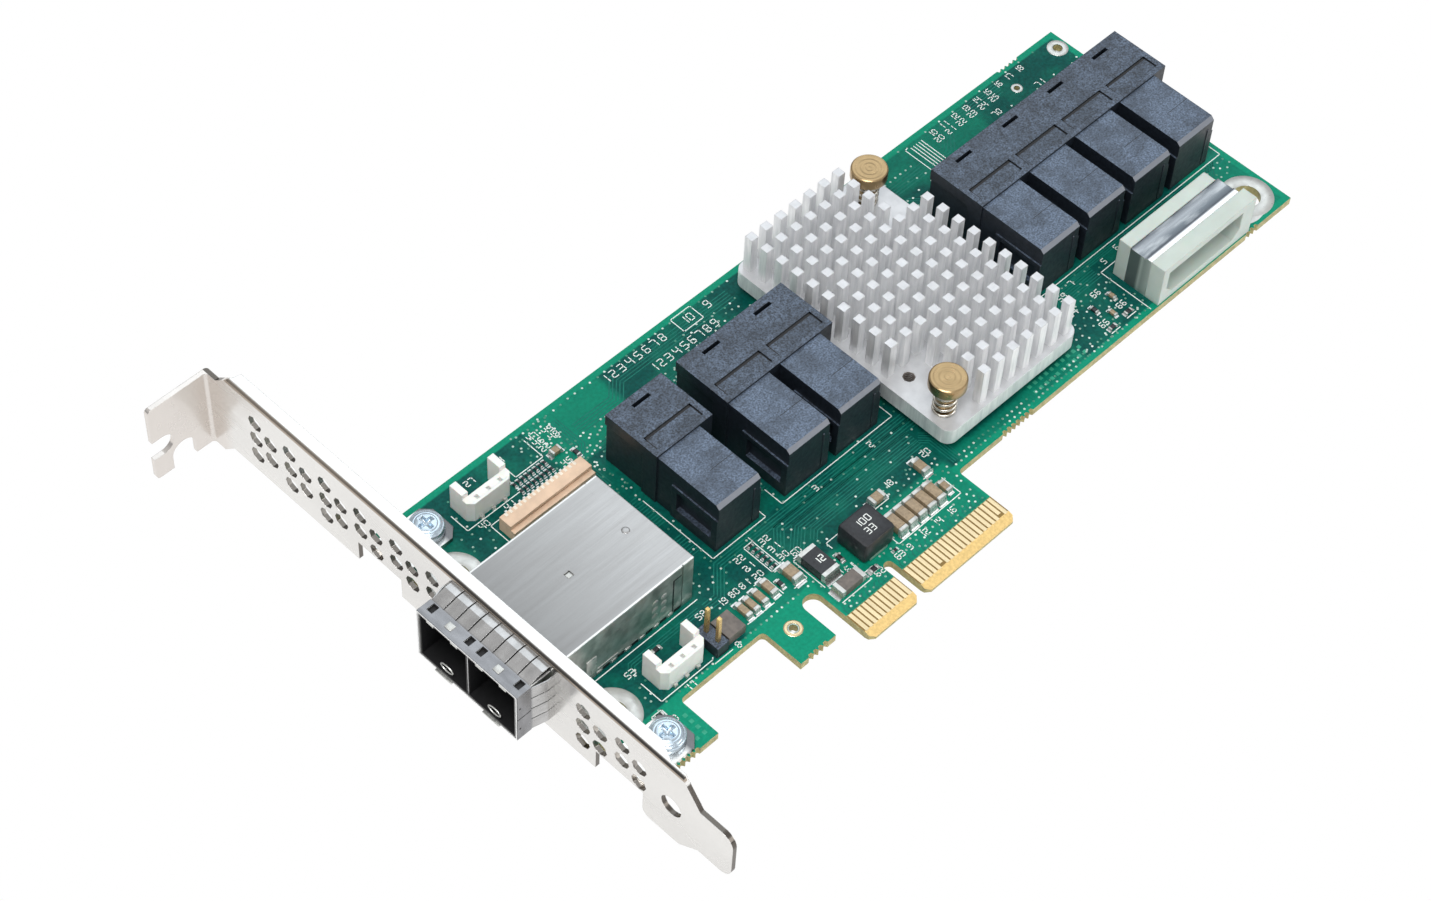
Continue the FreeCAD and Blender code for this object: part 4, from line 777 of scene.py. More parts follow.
# Which solids wear which finish
DRESS = {
    "board": ["circuit_board"],
    "gold": ["edge_contacts", "lower_receptacle_contacts", "upper_receptacle_contacts",
             "single_socket_contacts", "double_socket_contacts", "quad_socket_contacts"],
    "nickel": ["slot_bracket"],
    "zinc": ["bracket_nuts", "bracket_screws"],
    "cage": ["cage_shell", "cage_rear_cover"],
    "strap": ["power_strap"],
    "collar": ["spring_collar"],
    "black": ["single_socket", "double_socket", "quad_socket", "jumper_base"],
    "shade": ["lower_receptacle", "upper_receptacle"],
    "package": ["expander_chip", "power_coil", "fuse"],
    "sink": ["heatsink"],
    "brass": ["spring_screws"],
    "wire": ["springs"],
    "pad": ["thermal_pad"],
    "nylon": ["power_socket"],
    "white": ["upper_header", "lower_header"],
    "tin": ["power_pins", "upper_header_pins", "lower_header_pins", "ribbon_socket_leads", "fuse_ends",
            "large_capacitors_ends", "diode_ends", "plated_rings", "cage_divider"],
    "beige": ["ribbon_socket"],
    "post": ["jumper_posts"],
    "ceramic": ["large_capacitors"],
    "ferrite": ["filter_bead", "diode"],
}


# Sizes and colours that a user would change
def a_colour(name, description, default):
    return bpy.props.FloatVectorProperty(name=name, description=description, default=default, subtype="COLOR",
                                         min=0, max=1)


def a_number(name, description, default, least=0.0, unit="NONE"):
    return bpy.props.FloatProperty(name=name, description=description, default=default, min=least, unit=unit)


def a_length(name, description, default):
    return a_number(name, description, default, 5e-6, "LENGTH")


class CardColours(bpy.types.PropertyGroup):
    """Colours of the card's main finishes"""
    mask_over_copper: a_colour("Mask over copper", "Solder mask with copper under it", (0.002, 0.078, 0.066))
    mask_over_laminate: a_colour("Mask over laminate", "Solder mask over bare laminate", (0.004, 0.26, 0.155))
    print_white: a_colour("Print", "Printed lines and digits", (0.84, 0.88, 0.85))
    bracket: a_colour("Bracket", "Nickel of the slot bracket", (0.78, 0.765, 0.74))
    cage: a_colour("Cage", "Brushed tin of the cage", (0.46, 0.455, 0.45))
    socket: a_colour("Sockets", "Black plastic of the inner sockets", (0.012, 0.0165, 0.024))
    heatsink: a_colour("Heatsink", "Satin aluminium", (0.93, 0.94, 0.96))
    knob: a_colour("Spring screws", "Turned brass", (0.44, 0.31, 0.163))
    power: a_colour("Power socket", "Pale nylon", (0.54, 0.61, 0.56))
    ribbon: a_colour("Ribbon socket", "Beige plastic", (0.76, 0.55, 0.39))


class CardSizes(bpy.types.PropertyGroup):
    """Sizes of the details laid on the board"""
    print_width: a_length("Print width", "Width of a printed line", 0.00017)
    digit_height: a_length("Digit height", "Height of a printed digit", 0.0011)
    trace_width: a_length("Trace width", "Width of a copper trace", 0.00019)
    via_radius: a_length("Via radius", "Radius of a filled via", 0.00021)
    film: a_length("Film", "Height of print and traces above the board", 0.00002)


class CardStage(bpy.types.PropertyGroup):
    """Light, floor and camera"""
    floor: a_colour("Floor", "Colour of the floor", (0.90, 0.90, 0.90))
    sky: a_number("Sky", "Strength of the surrounding light", 0.62)
    key: a_number("Key", "Power of the main lamp", 3.6, unit="POWER")
    lens: a_number("Lens", "Focal length in millimetres", 80.861, 10)
    camera_place: bpy.props.FloatVectorProperty(
        name="Camera place", description="Where the camera stands", subtype="TRANSLATION",
        default=(-0.2434708, -0.1712005, 0.4166495))
    camera_turn: bpy.props.FloatVectorProperty(
        name="Camera turn", description="Turn of the camera", subtype="EULER",
        default=[math.radians(a) for a in (37.61761, -2.24042, -45.30706)])


# Parts soldered by their ends: middle, direction of the length, length, width, height, finish of the body
CHIPS = [
    (17.9, 12.0, "y", 2.4, 1.2, 1.0, "ceramic"), (8.0, 18.0, "x", 2.9, 1.7, 1.3, "ceramic"),
    (18.0, 17.5, "y", 3.2, 1.6, 1.2, "ceramic"), (-23.3, 17.5, "y", 3.2, 1.2, 1.0, "ceramic"),
    (-21.6, 17.5, "y", 3.2, 1.2, 1.0, "ceramic"), (-19.6, 17.6, "y", 3.2, 1.25, 1.0, "ceramic"),
    (-17.3, 17.9, "y", 3.3, 1.4, 1.1, "ceramic"), (-12.7, 17.3, "y", 3.6, 2.0, 1.4, "ceramic"),
    (-15.3, 17.2, "y", 1.6, 0.8, 0.6, "package"), (-22.9, 60.9, "x", 2.0, 1.25, 1.1, "ceramic"),
    (-20.4, 58.6, "y", 1.6, 0.8, 0.45, "package"), (64.0, 15.2, "x", 1.6, 0.8, 0.5, "package"),
    (66.4, 17.2, "y", 1.6, 0.8, 0.6, "ceramic"), (68.6, 15.6, "x", 1.6, 0.8, 0.5, "package"),
    (69.2, 19.8, "y", 1.6, 0.8, 0.6, "ceramic"), (64.6, 19.8, "y", 1.6, 0.8, 0.5, "package"),
    (2.9, 9.1, "x", 1.0, 0.5, 0.35, "package"), (-2.4, 8.9, "x", 1.7, 0.9, 0.5, "package"),
    (-4.7, 14.2, "y", 1.6, 0.8, 0.5, "package"), (-46.6, 12.8, "x", 1.6, 0.8, 0.45, "package"),
    (61.2, 23.4, "x", 1.6, 0.8, 0.5, "package"), (-38.4, 21.9, "x", 1.6, 0.8, 0.5, "package"),
    *[(-13.4, 20.4 + 1.05 * place, "x", 1.0, 0.5, 0.35, "package") for place in range(6)],
    *[(-32.3 + 0.95 * place, y, "y", 1.0, 0.5, 0.35, "package") for y in (58.9, 60.6) for place in range(8)],
]
# Printed lines, each through its corners
PRINT = [
    [(-19.4, 44.0), (-19.4, 28.1), (-7.3, 28.1), (-7.3, 30.4)], [(-55.5, 24.3), (-26.9, 24.3)],
    [(-3.5, 32.0), (-3.5, 28.1), (22.7, 28.1), (22.7, 33.0)], [(5.2, 15.0), (17.0, 15.0)],
    [(58.6, 33.0), (58.6, 28.1), (108.7, 28.1), (108.7, 33.0)], [(-33.4, 13.7), (-29.6, 13.7)],
    [(-44.4, 19.0), (-44.4, 14.5), (-33.2, 14.5), (-32.9, 14.8)], [(-4.1, 12.3), (-4.1, 9.5), (-2.0, 9.5)],
    [(-43.9, 63.0), (-43.9, 59.1), (-32.3, 59.1), (-32.3, 63.0)], [(-24.4, 15.4), (-18.5, 15.4)],
    [(-4.1, 16.4), (-4.1, 17.7), (5.3, 17.7), (5.3, 16.6)],
    [(4.3, 14.0), (4.3, 9.5), (19.2, 9.5), (19.2, 13.7)], [(-18.4, 19.9), (-16.1, 19.9), (-16.1, 15.7)],
    [(-10.6, 7.9), (-4.2, 7.9)], [(63.0, 14.4), (65.1, 14.4)],
    [(-14.1, 15.1), (-11.2, 15.1), (-11.2, 19.5), (-14.1, 19.5)], [(72.0, 13.4), (72.0, 24.6), (98.4, 24.6)],
    [(-14.4, 19.8), (-14.4, 26.2), (-12.4, 26.2), (-12.4, 19.8), (-14.4, 19.8)], [(67.5, 14.8), (69.7, 14.8)],
    [(-10.5, 11.9), (-10.5, 18.9), (-6.3, 18.9), (-6.3, 11.9)], [(16.9, 15.6), (19.2, 15.6), (19.2, 19.4)],
    [(-31.0, 63.2), (-31.0, 61.7), (-24.9, 61.7), (-24.9, 66.2)],
    [(-40.6, 51.8), (-40.6, 57.3), (-33.6, 57.3)], [(6.2, 16.9), (9.9, 16.9), (9.9, 19.1)],
    [(-47.7, 12.1), (-45.5, 12.1), (-45.5, 13.5), (-47.7, 13.5), (-47.7, 12.1)],
    [(10.6, 64.6), (15.2, 64.6), (15.2, 68.0), (10.6, 68.0), (10.6, 64.6)],
    *[[(69.6 + 0.68 * line, 60.8), (69.6 + 0.68 * line, 66.8)] for line in range(5)],
    [(69.1, 67.3), (68.4, 67.1), (68.4, 60.7)],
]
# Plain printed numbers and where each starts
NUMBERS = [
    (1, (-13.0, 26.0)), (3, (2.4, 26.0)), (2, (15.4, 26.0)), (7, (66.0, 26.0)), (6, (78.0, 26.0)),
    (5, (90.0, 26.0)), (4, (102.0, 26.0)), (19, (-25.2, 20.6)), (80, (-22.6, 20.6)), (81, (-20.2, 20.6)),
    (18, (11.0, 18.4)), (20, (20.2, 18.6)),
    (9, (4.9, 7.4)), (12, (8.0, 7.6)), (14, (11.2, 7.6)), (16, (14.4, 7.6)), (11, (-40.0, 12.9)),
    (8, (-28.6, 13.2)), (30, (-46.4, 10.4)), (27, (-38.0, 65.6)), (22, (-24.2, 62.4)), (5, (74.0, 25.4)),
    (65, (62.8, 16.2)), (66, (68.2, 17.0)), (58, (-29.4, 21.2)), (40, (-42.0, 57.6)),
    (41, (-36.4, 57.6)), (44, (-31.8, 65.4)), (45, (-23.6, 57.8)), (46, (-24.2, 63.9)),
    (47, (-24.2, 65.4)), (48, (-21.4, 63.2)), (49, (-21.4, 64.7)), (60, (-9.6, 19.4)), (61, (-5.6, 11.2)),
    (62, (-2.8, 7.4)), (63, (2.0, 7.4)), (53, (-45.2, 21.0)), (54, (60.6, 21.4)),
    (55, (62.0, 25.0)), (56, (66.8, 21.6)), (57, (99.6, 25.4)), (70, (86.4, 61.6)), (71, (97.6, 61.2)),
    *[(20 + place, (-17.3, 20.4 + 2.1 * place)) for place in range(3)],
    *[(30 + place, (-11.6, 20.3 + 2.1 * place)) for place in range(3)],
    *[(10 + place, (74.2 + 2.9 * place, 66.1)) for place in range(9)],
    *[(20 + place, (74.2 + 2.9 * place, 64.4)) for place in range(6)],
]
# Larger printed digits that count up, in two rows and a box, and how much larger they are
LARGE_SHARE = 1.4
LARGE_DIGITS = [
    *[(place + 1, (-6.8 + 1.9 * place, 65.5)) for place in range(8)],
    *[(place + 1, (0.8 + 1.8 * place, 61.7)) for place in range(9)],
    (10, (11.7, 65.5)), (9, (17.2, 65.5)),
]
# Digits on the coil and on the fuse, how tall they are and how wide their strokes
COIL_DIGITS = [(100, (-1.0, 13.9)), (33, (-0.6, 12.0))]
FUSE_DIGITS = [(12, (-9.2, 14.8))]
PART_DIGIT, COIL_STROKE, FUSE_STROKE = 1.2, 0.16, 0.2
# Bundles of traces: the middle line, how many run beside each other, and their pitch
BUNDLES = [
    ([(-27.0, 22.2), (-24.0, 22.2), (-19.6, 26.6), (24.0, 26.6)], 4, 0.55),
    ([(-11.0, 21.5), (-7.5, 25.0), (24.5, 25.0)], 4, 0.55),
    ([(-8.5, 20.0), (-5.0, 23.0), (22.0, 23.0)], 5, 0.55),
    ([(-5.0, 19.6), (-3.4, 21.0), (22.0, 21.0)], 3, 0.55),
    ([(-27.0, 42.0), (-19.6, 42.0)], 12, 0.6), ([(-27.0, 33.0), (-19.6, 33.0)], 8, 0.6),
    ([(-5.0, 34.0), (-3.0, 34.0)], 8, 0.6), ([(22.5, 22.0), (24.0, 20.5), (24.0, 14.5)], 5, 0.5),
    ([(56.0, 22.0), (59.0, 22.0), (62.5, 25.5), (71.4, 25.5)], 7, 0.5),
    ([(56.2, 25.4), (58.0, 27.2), (108.0, 27.2)], 3, 0.42),
    ([(99.5, 26.0), (103.5, 26.0), (106.5, 29.0), (108.9, 29.0)], 4, 0.45),
    ([(-17.0, 55.6), (-13.0, 55.6), (-11.0, 57.6), (22.5, 57.6)], 7, 0.55),
    ([(-17.0, 62.0), (-8.0, 62.0), (-5.0, 65.0), (22.0, 65.0)], 5, 0.6),
    ([(56.0, 58.0), (60.0, 58.0), (62.0, 56.0), (108.0, 56.0)], 5, 0.5),
    ([(57.0, 62.0), (74.0, 62.0), (78.0, 66.0), (92.0, 66.0)], 5, 0.6),
    ([(-40.0, 50.0), (-36.0, 50.0), (-34.6, 48.6), (-21.0, 48.6)], 4, 0.5),
    ([(-45.0, 20.6), (-43.0, 22.6), (-28.0, 22.6)], 3, 0.5),
    ([(-21.5, 50.0), (-21.5, 57.0), (-19.0, 59.5), (-19.0, 66.0)], 5, 0.5),
]
# Fields of vias: two corners, pitch and how far each is shaken from its place
VIA_FIELDS = [
    (-11.5, 6.6, 21.6, 19.5, 1.35, 0.35), (-41.0, 13.9, -11.0, 14.9, 1.2, 0.08),
    (-20.5, 55.5, 8.0, 61.0, 1.15, 0.4), (-20.5, 67.6, 24.0, 67.7, 1.7, 0.1),
    (8.0, 55.5, 23.0, 65.0, 1.6, 0.5), (57.0, 55.2, 108.0, 63.0, 2.3, 0.7),
    (56.5, 13.8, 72.0, 27.6, 1.5, 0.5), (-56.0, 48.0, -41.5, 68.0, 2.0, 0.6),
    (-27.0, 20.0, -5.0, 28.0, 1.7, 0.7), (23.0, 13.9, 71.0, 15.0, 1.2, 0.08),
    (-5.0, 19.5, 24.0, 28.0, 2.4, 0.8), (-20.0, 29.0, 24.0, 55.0, 1.6, 0.5),
    (-27.0, 47.8, -19.8, 68.0, 1.2, 0.4),
    (99.0, 13.8, 109.0, 28.0, 1.5, 0.4), (-55.0, 14.0, -43.0, 24.0, 1.8, 0.5),
    (59.6, 63.9, 67.6, 64.0, 1.35, 0.05), (60.0, 67.8, 106.0, 67.9, 3.6, 0.1),
]
# Fields of spare copper squares: columns and rows of their middles
SQUARE_FIELDS = [
    ((-43.6, -45.2), np.arange(6.0, 11.6, 1.4)),
    (np.arange(84.0, 106.0, 1.5), (58.2, 59.7)),
    (np.arange(44.0, 57.0, 1.4), (15.0, 16.4)),
]
# Middles of the contacts that a trace leaves
TRACED_CONTACTS = [*np.arange(-11.5, -1, 1), *np.arange(1.5, 21, 1)]
# Plated holes: middle, bore, radius of the ring and depth of the lining
PLATED_HOLES = [
    *[(at, 2.5, GROUND_PAD, 0.02) for at in GROUND_HOLES],
    ((107.5, 65.3), 0.9, 2.0, 1.5), ((94.45, 63.7), 0.55, 1.1, 1.5), (LOCATOR_HOLE, 0.75, 0.95, 1.5),
]
# Solids that don't fill the rectangle round them, so vias may lie inside it
SCATTERED = {"circuit_board", "edge_contacts", "slot_bracket", "heatsink", "bracket_nuts", "bracket_screws",
             "plated_rings", "springs", "spring_screws"}


def taken():
    """Rectangles of the board that parts stand on."""
    boxes = [box_mm(node) for node in NODES if node not in SCATTERED]
    rooms = [np.concatenate([low[:2], high[:2]]) for low, high in boxes]
    for x, y, way, length, width, *_ in CHIPS:
        u, v = (length / 2, width / 2) if way == "x" else (width / 2, length / 2)
        rooms.append(np.array([x - u, y - v, x + u, y + v]))
    pad = np.repeat([-GROUND_PAD, GROUND_PAD], 2)
    rooms += [np.tile(hole, 2) + pad for hole in GROUND_HOLES]
    return np.array(rooms)


def via_places():
    """Staggered rows in each field, shaken a little, kept on the board and clear of the parts."""
    chance = np.random.default_rng(11)
    row_share, loss = 0.87, 0.5
    places = []
    for x0, y0, x1, y1, pitch, shake in VIA_FIELDS:
        step = pitch * row_share
        columns, rows = int((x1 - x0) / pitch) + 1, int((y1 - y0) / step) + 1
        i, j = np.meshgrid(np.arange(columns), np.arange(rows), indexing="ij")
        spots = np.stack([x0 + (i + 0.5 * (j % 2)) * pitch, y0 + j * step], -1).reshape(-1, 2)
        keep = chance.random(len(spots)) > shake * loss
        places.append((spots + chance.uniform(-shake, shake, spots.shape))[keep])
    spots = np.concatenate(places)
    x, y = spots.T
    rooms = taken()
    clear, edge = 0.35, 0.8
    over_x = (x[:, None] > rooms[:, 0] - clear) & (x[:, None] < rooms[:, 2] + clear)
    over_y = (y[:, None] > rooms[:, 1] - clear) & (y[:, None] < rooms[:, 3] + clear)
    on_neck = (x > FINGERS_LOW[0] + NECK_INSET) & (x < FINGERS_HIGH[0] - NECK_INSET)
    on_neck &= y > MASK_EDGE + 0.5
    on_body = (x > BOARD_LOW[0] + edge) & (x < BOARD_HIGH[0] - edge)
    on_body &= (y > BODY_EDGE + edge) & (y < BOARD_HIGH[1] - edge)
    key_slot = (np.abs(x) < KEY_HALF) & (y < KEY_TOP)
    return spots[~(over_x & over_y).any(1) & (on_neck | on_body) & ~key_slot]


def digit_lines(numbers, height):
    """Strokes of several plain numbers, each from where it starts."""
    return [line for number, at in numbers for line in number_lines(number, at, height)]


def printed_bars(height, width, level):
    """Flat bars along every printed line and digit, drawn out by half their width at both ends."""
    paths = PRINT + digit_lines(NUMBERS, height) + digit_lines(LARGE_DIGITS, height * LARGE_SHARE)
    starts, ends = lines_of(paths)
    over = width / 2 * (ends - starts) / np.linalg.norm(ends - starts, axis=1, keepdims=True)
    return bars(starts - over, ends + over, width, 0.0, level)


def marked(paths, width, top):
    """Flat bars along lines printed on a part, sunk a little into its top."""
    return bars(*lines_of(paths), width, top - 0.03, top + 0.01)


# Operators, one for each group of pieces
class CARD_OT_finishes(bpy.types.Operator):
    """Gives every solid of the card its finish"""
    bl_idname = "card.finishes"
    bl_label = "Finishes"

    def execute(self, context):
        for name, finish in all_finishes(context.scene.card_colours).items():
            FINISHES[name] = finish.material
        for finish, nodes in DRESS.items():
            for node in nodes:
                mesh = NODES[node].data
                mesh.materials.clear()
                mesh.materials.append(FINISHES[finish])
        return {"FINISHED"}


class CARD_OT_board_print(bpy.types.Operator):
    """Lays traces, thieving squares, vias and printed lines on the board"""
    bl_idname = "card.board_print"
    bl_label = "Traces, vias and print"

    def execute(self, context):
        sizes = context.scene.card_sizes
        film = sizes.film / MM
        runs = [run for path, count, pitch in BUNDLES for run in bundle(path, count, pitch)]
        leave, bend, end = MASK_EDGE, MASK_EDGE + 1.0, MASK_EDGE + 1.5
        runs += [np.array([(x, leave), (x, bend), (x + 0.4, end)]) for x in TRACED_CONTACTS]
        traces = bars(*lines_of(runs), sizes.trace_width / MM, 0.0, film)
        make_piece("traces", traces, "trace")
        half = 0.35
        squares = np.array([(x, y) for xs, ys in SQUARE_FIELDS for x in xs for y in ys])
        spans = np.concatenate([squares - half, squares + half], 1)
        make_piece("thieving_squares", plates(spans, 0.0, film), "square")
        spots, radius, proud, sides = via_places(), sizes.via_radius / MM, film * 1.5, 8
        upper = discs(spots, radius, 0.0, proud, sides)
        lower = discs(spots, radius, BOARD_LOW[2] - proud, BOARD_LOW[2], sides)
        make_piece("vias", joined([upper, lower]), "via")
        lines = printed_bars(sizes.digit_height / MM, sizes.print_width / MM, film * 1.25)
        make_piece("printed_lines", lines, "print")
        return {"FINISHED"}


def flat_ring(at, bore, pad, depth):
    """A thin plated ring with a lining down its hole."""
    top, bevel = 0.06, 0.02
    profile = [(bore, -depth), (pad, 0.0), (pad - 0.08, top), (bore + 0.06, top),
               (bore + bevel, top - bevel), (bore, -depth)]
    return turned(profile, [at], 56)


class CARD_OT_plated_rings(bpy.types.Operator):
    """Turns the bare plated rings round the holes"""
    bl_idname = "card.plated_rings"
    bl_label = "Plated rings"

    def execute(self, context):
        rings = [flat_ring(*hole) for hole in PLATED_HOLES]
        x, y = GROUND_HOLES[2]
        reach, inside = 2.6, 4.6
        turn = np.radians(np.linspace(90, 270, 24))
        arc = np.stack([np.cos(turn), np.sin(turn)], 1)
        outer, inner = np.array([x - reach, y]) + GROUND_PAD * arc, np.array([x, y]) + inside * arc
        wing = np.concatenate([outer, inner[::-1]])[None]
        rings.append(raised(wing, 0.0, 0.05))
        make_piece("plated_hole_rings", joined(rings), "tin", stands_for=["plated_rings"])
        make_piece("locator_gold_ring", flat_ring(LOCATOR_HOLE, 0.97, 1.6, 0.02), "gold")
        return {"FINISHED"}


# How far solder climbs the end of a part, as a share of its height
SOLDER_RISE = 0.6


def solder_fillets(wedges):
    """Hollow slopes of solder: the height falls off with the square of what is left of the way out."""
    shapes, lip, steps = [], 0.03, 5
    way = np.linspace(0, 1, steps)[:, None]
    last = steps * 4 - 4
    faces = grid_faces(steps, 4, True).tolist() + [[3, 2, 1, 0], [last, last + 1, last + 2, last + 3]]
    for edge, out, half, height in wedges:
        foot = np.asarray(edge) + way * np.asarray(out)
        ridge = np.concatenate([foot, lip + height * (1 - way) ** 2], 1)
        floor = np.concatenate([foot, np.zeros((steps, 1))], 1)
        wide = np.append(half, 0.0)
        ring = np.stack([floor - wide, floor + wide, ridge + wide, ridge - wide], 1)
        outward = out[0] * half[1] - out[1] * half[0] < 0
        shapes.append((ring.reshape(-1, 3), faces if outward else [face[::-1] for face in faces]))
    return joined(shapes)


class CARD_OT_small_parts(bpy.types.Operator):
    """Makes the small soldered parts, their end caps, pads and solder"""
    bl_idname = "card.small_parts"
    bl_label = "Small parts"

    def execute(self, context):
        film = context.scene.card_sizes.film / MM
        bodies, ends, pads, wedges = {"ceramic": [], "package": []}, [], [], []
        lift, cap_share, pad_share, solder_share = 0.02, 0.22, 0.12, 0.3
        body_width, body_height = 0.48, 0.97
        for x, y, way, length, width, height, finish in CHIPS:
            along = np.array([1.0, 0.0] if way == "x" else [0.0, 1.0])
            across = along[::-1]
            middle = np.array([x, y])
            cap = length * cap_share
            half = along * (length / 2 - cap) + across * width * body_width
            bodies[finish].append((*(middle - half), lift, *(middle + half), height * body_height))
            for out in (-along, along):
                centre = middle + out * (length - cap) / 2
                reach = along * cap / 2 + across * width / 2
                ends.append((*(centre - reach), lift, *(centre + reach), height))
                outer = middle + out * (length / 2 + width * pad_share)
                grown = along * (cap / 2 + width * pad_share) + across * (width / 2 + 0.06)
                pads.append((*(outer - grown), *(outer + grown)))
                edge = middle + out * (length / 2 - lift)
                wedges.append((edge, out * width * solder_share, across * width / 2, height * SOLDER_RISE))
        ceramic, package = round_boxes(bodies["ceramic"], 0.07), round_boxes(bodies["package"], 0.06)
        make_piece("small_capacitor_bodies", ceramic, "ceramic")
        make_piece("small_resistor_bodies", package, "package")
        make_piece("small_part_ends", round_boxes(ends, 0.09), "tin")
        make_piece("small_part_pads", plates(pads, 0.0, film * 1.5), "solder")
        make_piece("small_part_solder", solder_fillets(wedges), "solder", sharp=60)
        return {"FINISHED"}


class CARD_OT_coil(bpy.types.Operator):
    """Makes the rounded power coil with its feet and digits"""
    bl_idname = "card.coil"
    bl_label = "Power coil"

    def execute(self, context):
        low, high = box_mm("power_coil")
        lift, rounding, inset, tall = 0.25, 0.55, 1.4, 0.9
        block = round_boxes([(*low[:2], lift, *high)], rounding)
        make_piece("coil_block", block, "package", stands_for=["power_coil"])
        rows = (low[1] + 0.1, high[1] - 0.1)
        feet = [(low[0] + inset, y - 0.1, 0.0, high[0] - inset, y + 0.1, tall) for y in rows]
        make_piece("coil_feet", round_boxes(feet, 0.08), "tin")
        marks = marked(digit_lines(COIL_DIGITS, PART_DIGIT), COIL_STROKE, high[2])
        make_piece("coil_digits", marks, "print")
        return {"FINISHED"}


class CARD_OT_power_parts(bpy.types.Operator):
    """Makes the row of large capacitors and the solder of the fuse and diode"""
    bl_idname = "card.power_parts"
    bl_label = "Power parts"

    def execute(self, context):
        caps_low, caps_high = box_mm("large_capacitors")
        ends_low, ends_high = box_mm("large_capacitors_ends")
        wide, count, lift, over, pad_half = 1.75, 5, 0.02, 0.03, 0.55
        starts = caps_low[0] + (caps_high[0] - caps_low[0] - wide) / (count - 1) * np.arange(count)
        bodies = [(x, caps_low[1], lift, x + wide, caps_high[1], caps_high[2]) for x in starts]
        make_piece("large_capacitor_bodies", round_boxes(bodies, 0.1), "ceramic",
                   stands_for=["large_capacitors"])
        ends, wedges, pads = [], [], []
        sides = ((ends_low[1], caps_low[1], ends_low[1], -1), (caps_high[1], ends_high[1], ends_high[1], 1))
        for x in starts:
            for near, far, outer, side in sides:
                ends.append((x - over, near, lift, x + wide + over, far, ends_high[2]))
                foot = (x + wide / 2, outer - lift * side)
                wedges.append((foot, (0.0, 0.5 * side), (wide / 2, 0.0), 1.0))
                pads.append((x - 0.1, outer - pad_half, x + wide + 0.1, outer + pad_half))
        make_piece("large_capacitor_caps", round_boxes(ends, 0.14), "tin",
                   stands_for=["large_capacitors_ends"])
        slope, pad = 0.7, 0.9
        for node, way in (("fuse_ends", 1), ("diode_ends", 0)):
            low, high = box_mm(node)
            along, across = np.eye(2)[way], np.eye(2)[1 - way]
            half = across * (high - low)[:2] / 2
            for edge, side in ((low, -1), (high, 1)):
                middle = across * (low + high)[:2] / 2 + along * (edge[:2] - lift * side)
                wedges.append((middle, along * slope * side, half, high[2] * SOLDER_RISE))
                pads.append((*(middle - half - along * pad), *(middle + half + along * pad)))
        marks = marked(digit_lines(FUSE_DIGITS, PART_DIGIT), FUSE_STROKE, box_mm("fuse")[1][2])
        make_piece("fuse_digits", marks, "print")
        make_piece("power_part_solder", solder_fillets(wedges), "solder", sharp=60)
        make_piece("power_part_pads", plates(pads, 0.0, 0.03), "solder")
        return {"FINISHED"}


def pan_head(at, bottom, top):
    """A turned shank and head, with a cross sunk into the head where either arm's distance is small."""
    seat, shank, crown_radius, sides = 0.9, 1.45, 2.9, 72
    rim = [(0, bottom), (1.0, bottom), (shank, bottom + 0.4), (shank, seat), (crown_radius, seat),
           (PAN_RADIUS, seat + 0.15), (PAN_RADIUS, seat + 1.2), (2.98, seat + 1.45)]
    r = np.linspace(crown_radius, 0.0, 30)
    grooves = 0.05 * (np.cos(r * 9.5) > 0.55) * (r > 1.7)
    crown = top - 0.62 * (r / crown_radius) ** 3 - grooves
    profile = np.concatenate([rim, np.stack([r, crown], 1)])
    x, y = profile[:, :1] * circle(sides).T[:, None]
    z = np.broadcast_to(profile[:, 1:], x.shape).copy()
    arm, wide, deep = 1.5, 0.42, 0.9
    first = np.maximum(np.abs(x) / arm, np.abs(y) / wide)
    second = np.maximum(np.abs(y) / arm, np.abs(x) / wide)
    sunk = np.clip((1.0 - np.minimum(first, second)) * 4, 0, 1) * np.clip(1.0 - 0.35 * profile[:, :1], 0, 1)
    z[len(rim):] -= deep * sunk[len(rim):]
    points = np.stack([x + at[0], y + at[1], z], -1).reshape(-1, 3)
    return points, grid_faces(len(profile), sides, True).tolist()


def knob_profile(end, top):
    """Radius and level up a spring screw: point, barb, stem, rounded head, and cosine rings on its top."""
    under, barb, stem, grip = top - 2.3, 1.85, 1.3, 3.28
    profile = [(0.0, end), (0.7, end), (1.25, end + 0.5), (barb, end + 1.1), (barb, -1.6), (stem, -1.57),
               (stem, under), (3.0, under), (3.2, under + 0.12), (grip, under + 0.3), (grip, top - 0.35),
               (3.2, top - 0.12), (3.0, top)]
    rings = np.linspace(2.9, 0.25, 40)
    profile += [(r, top - 0.03 + 0.028 * math.cos(r * 7)) for r in rings]
    return [*profile, (0.0, top - 0.02)]


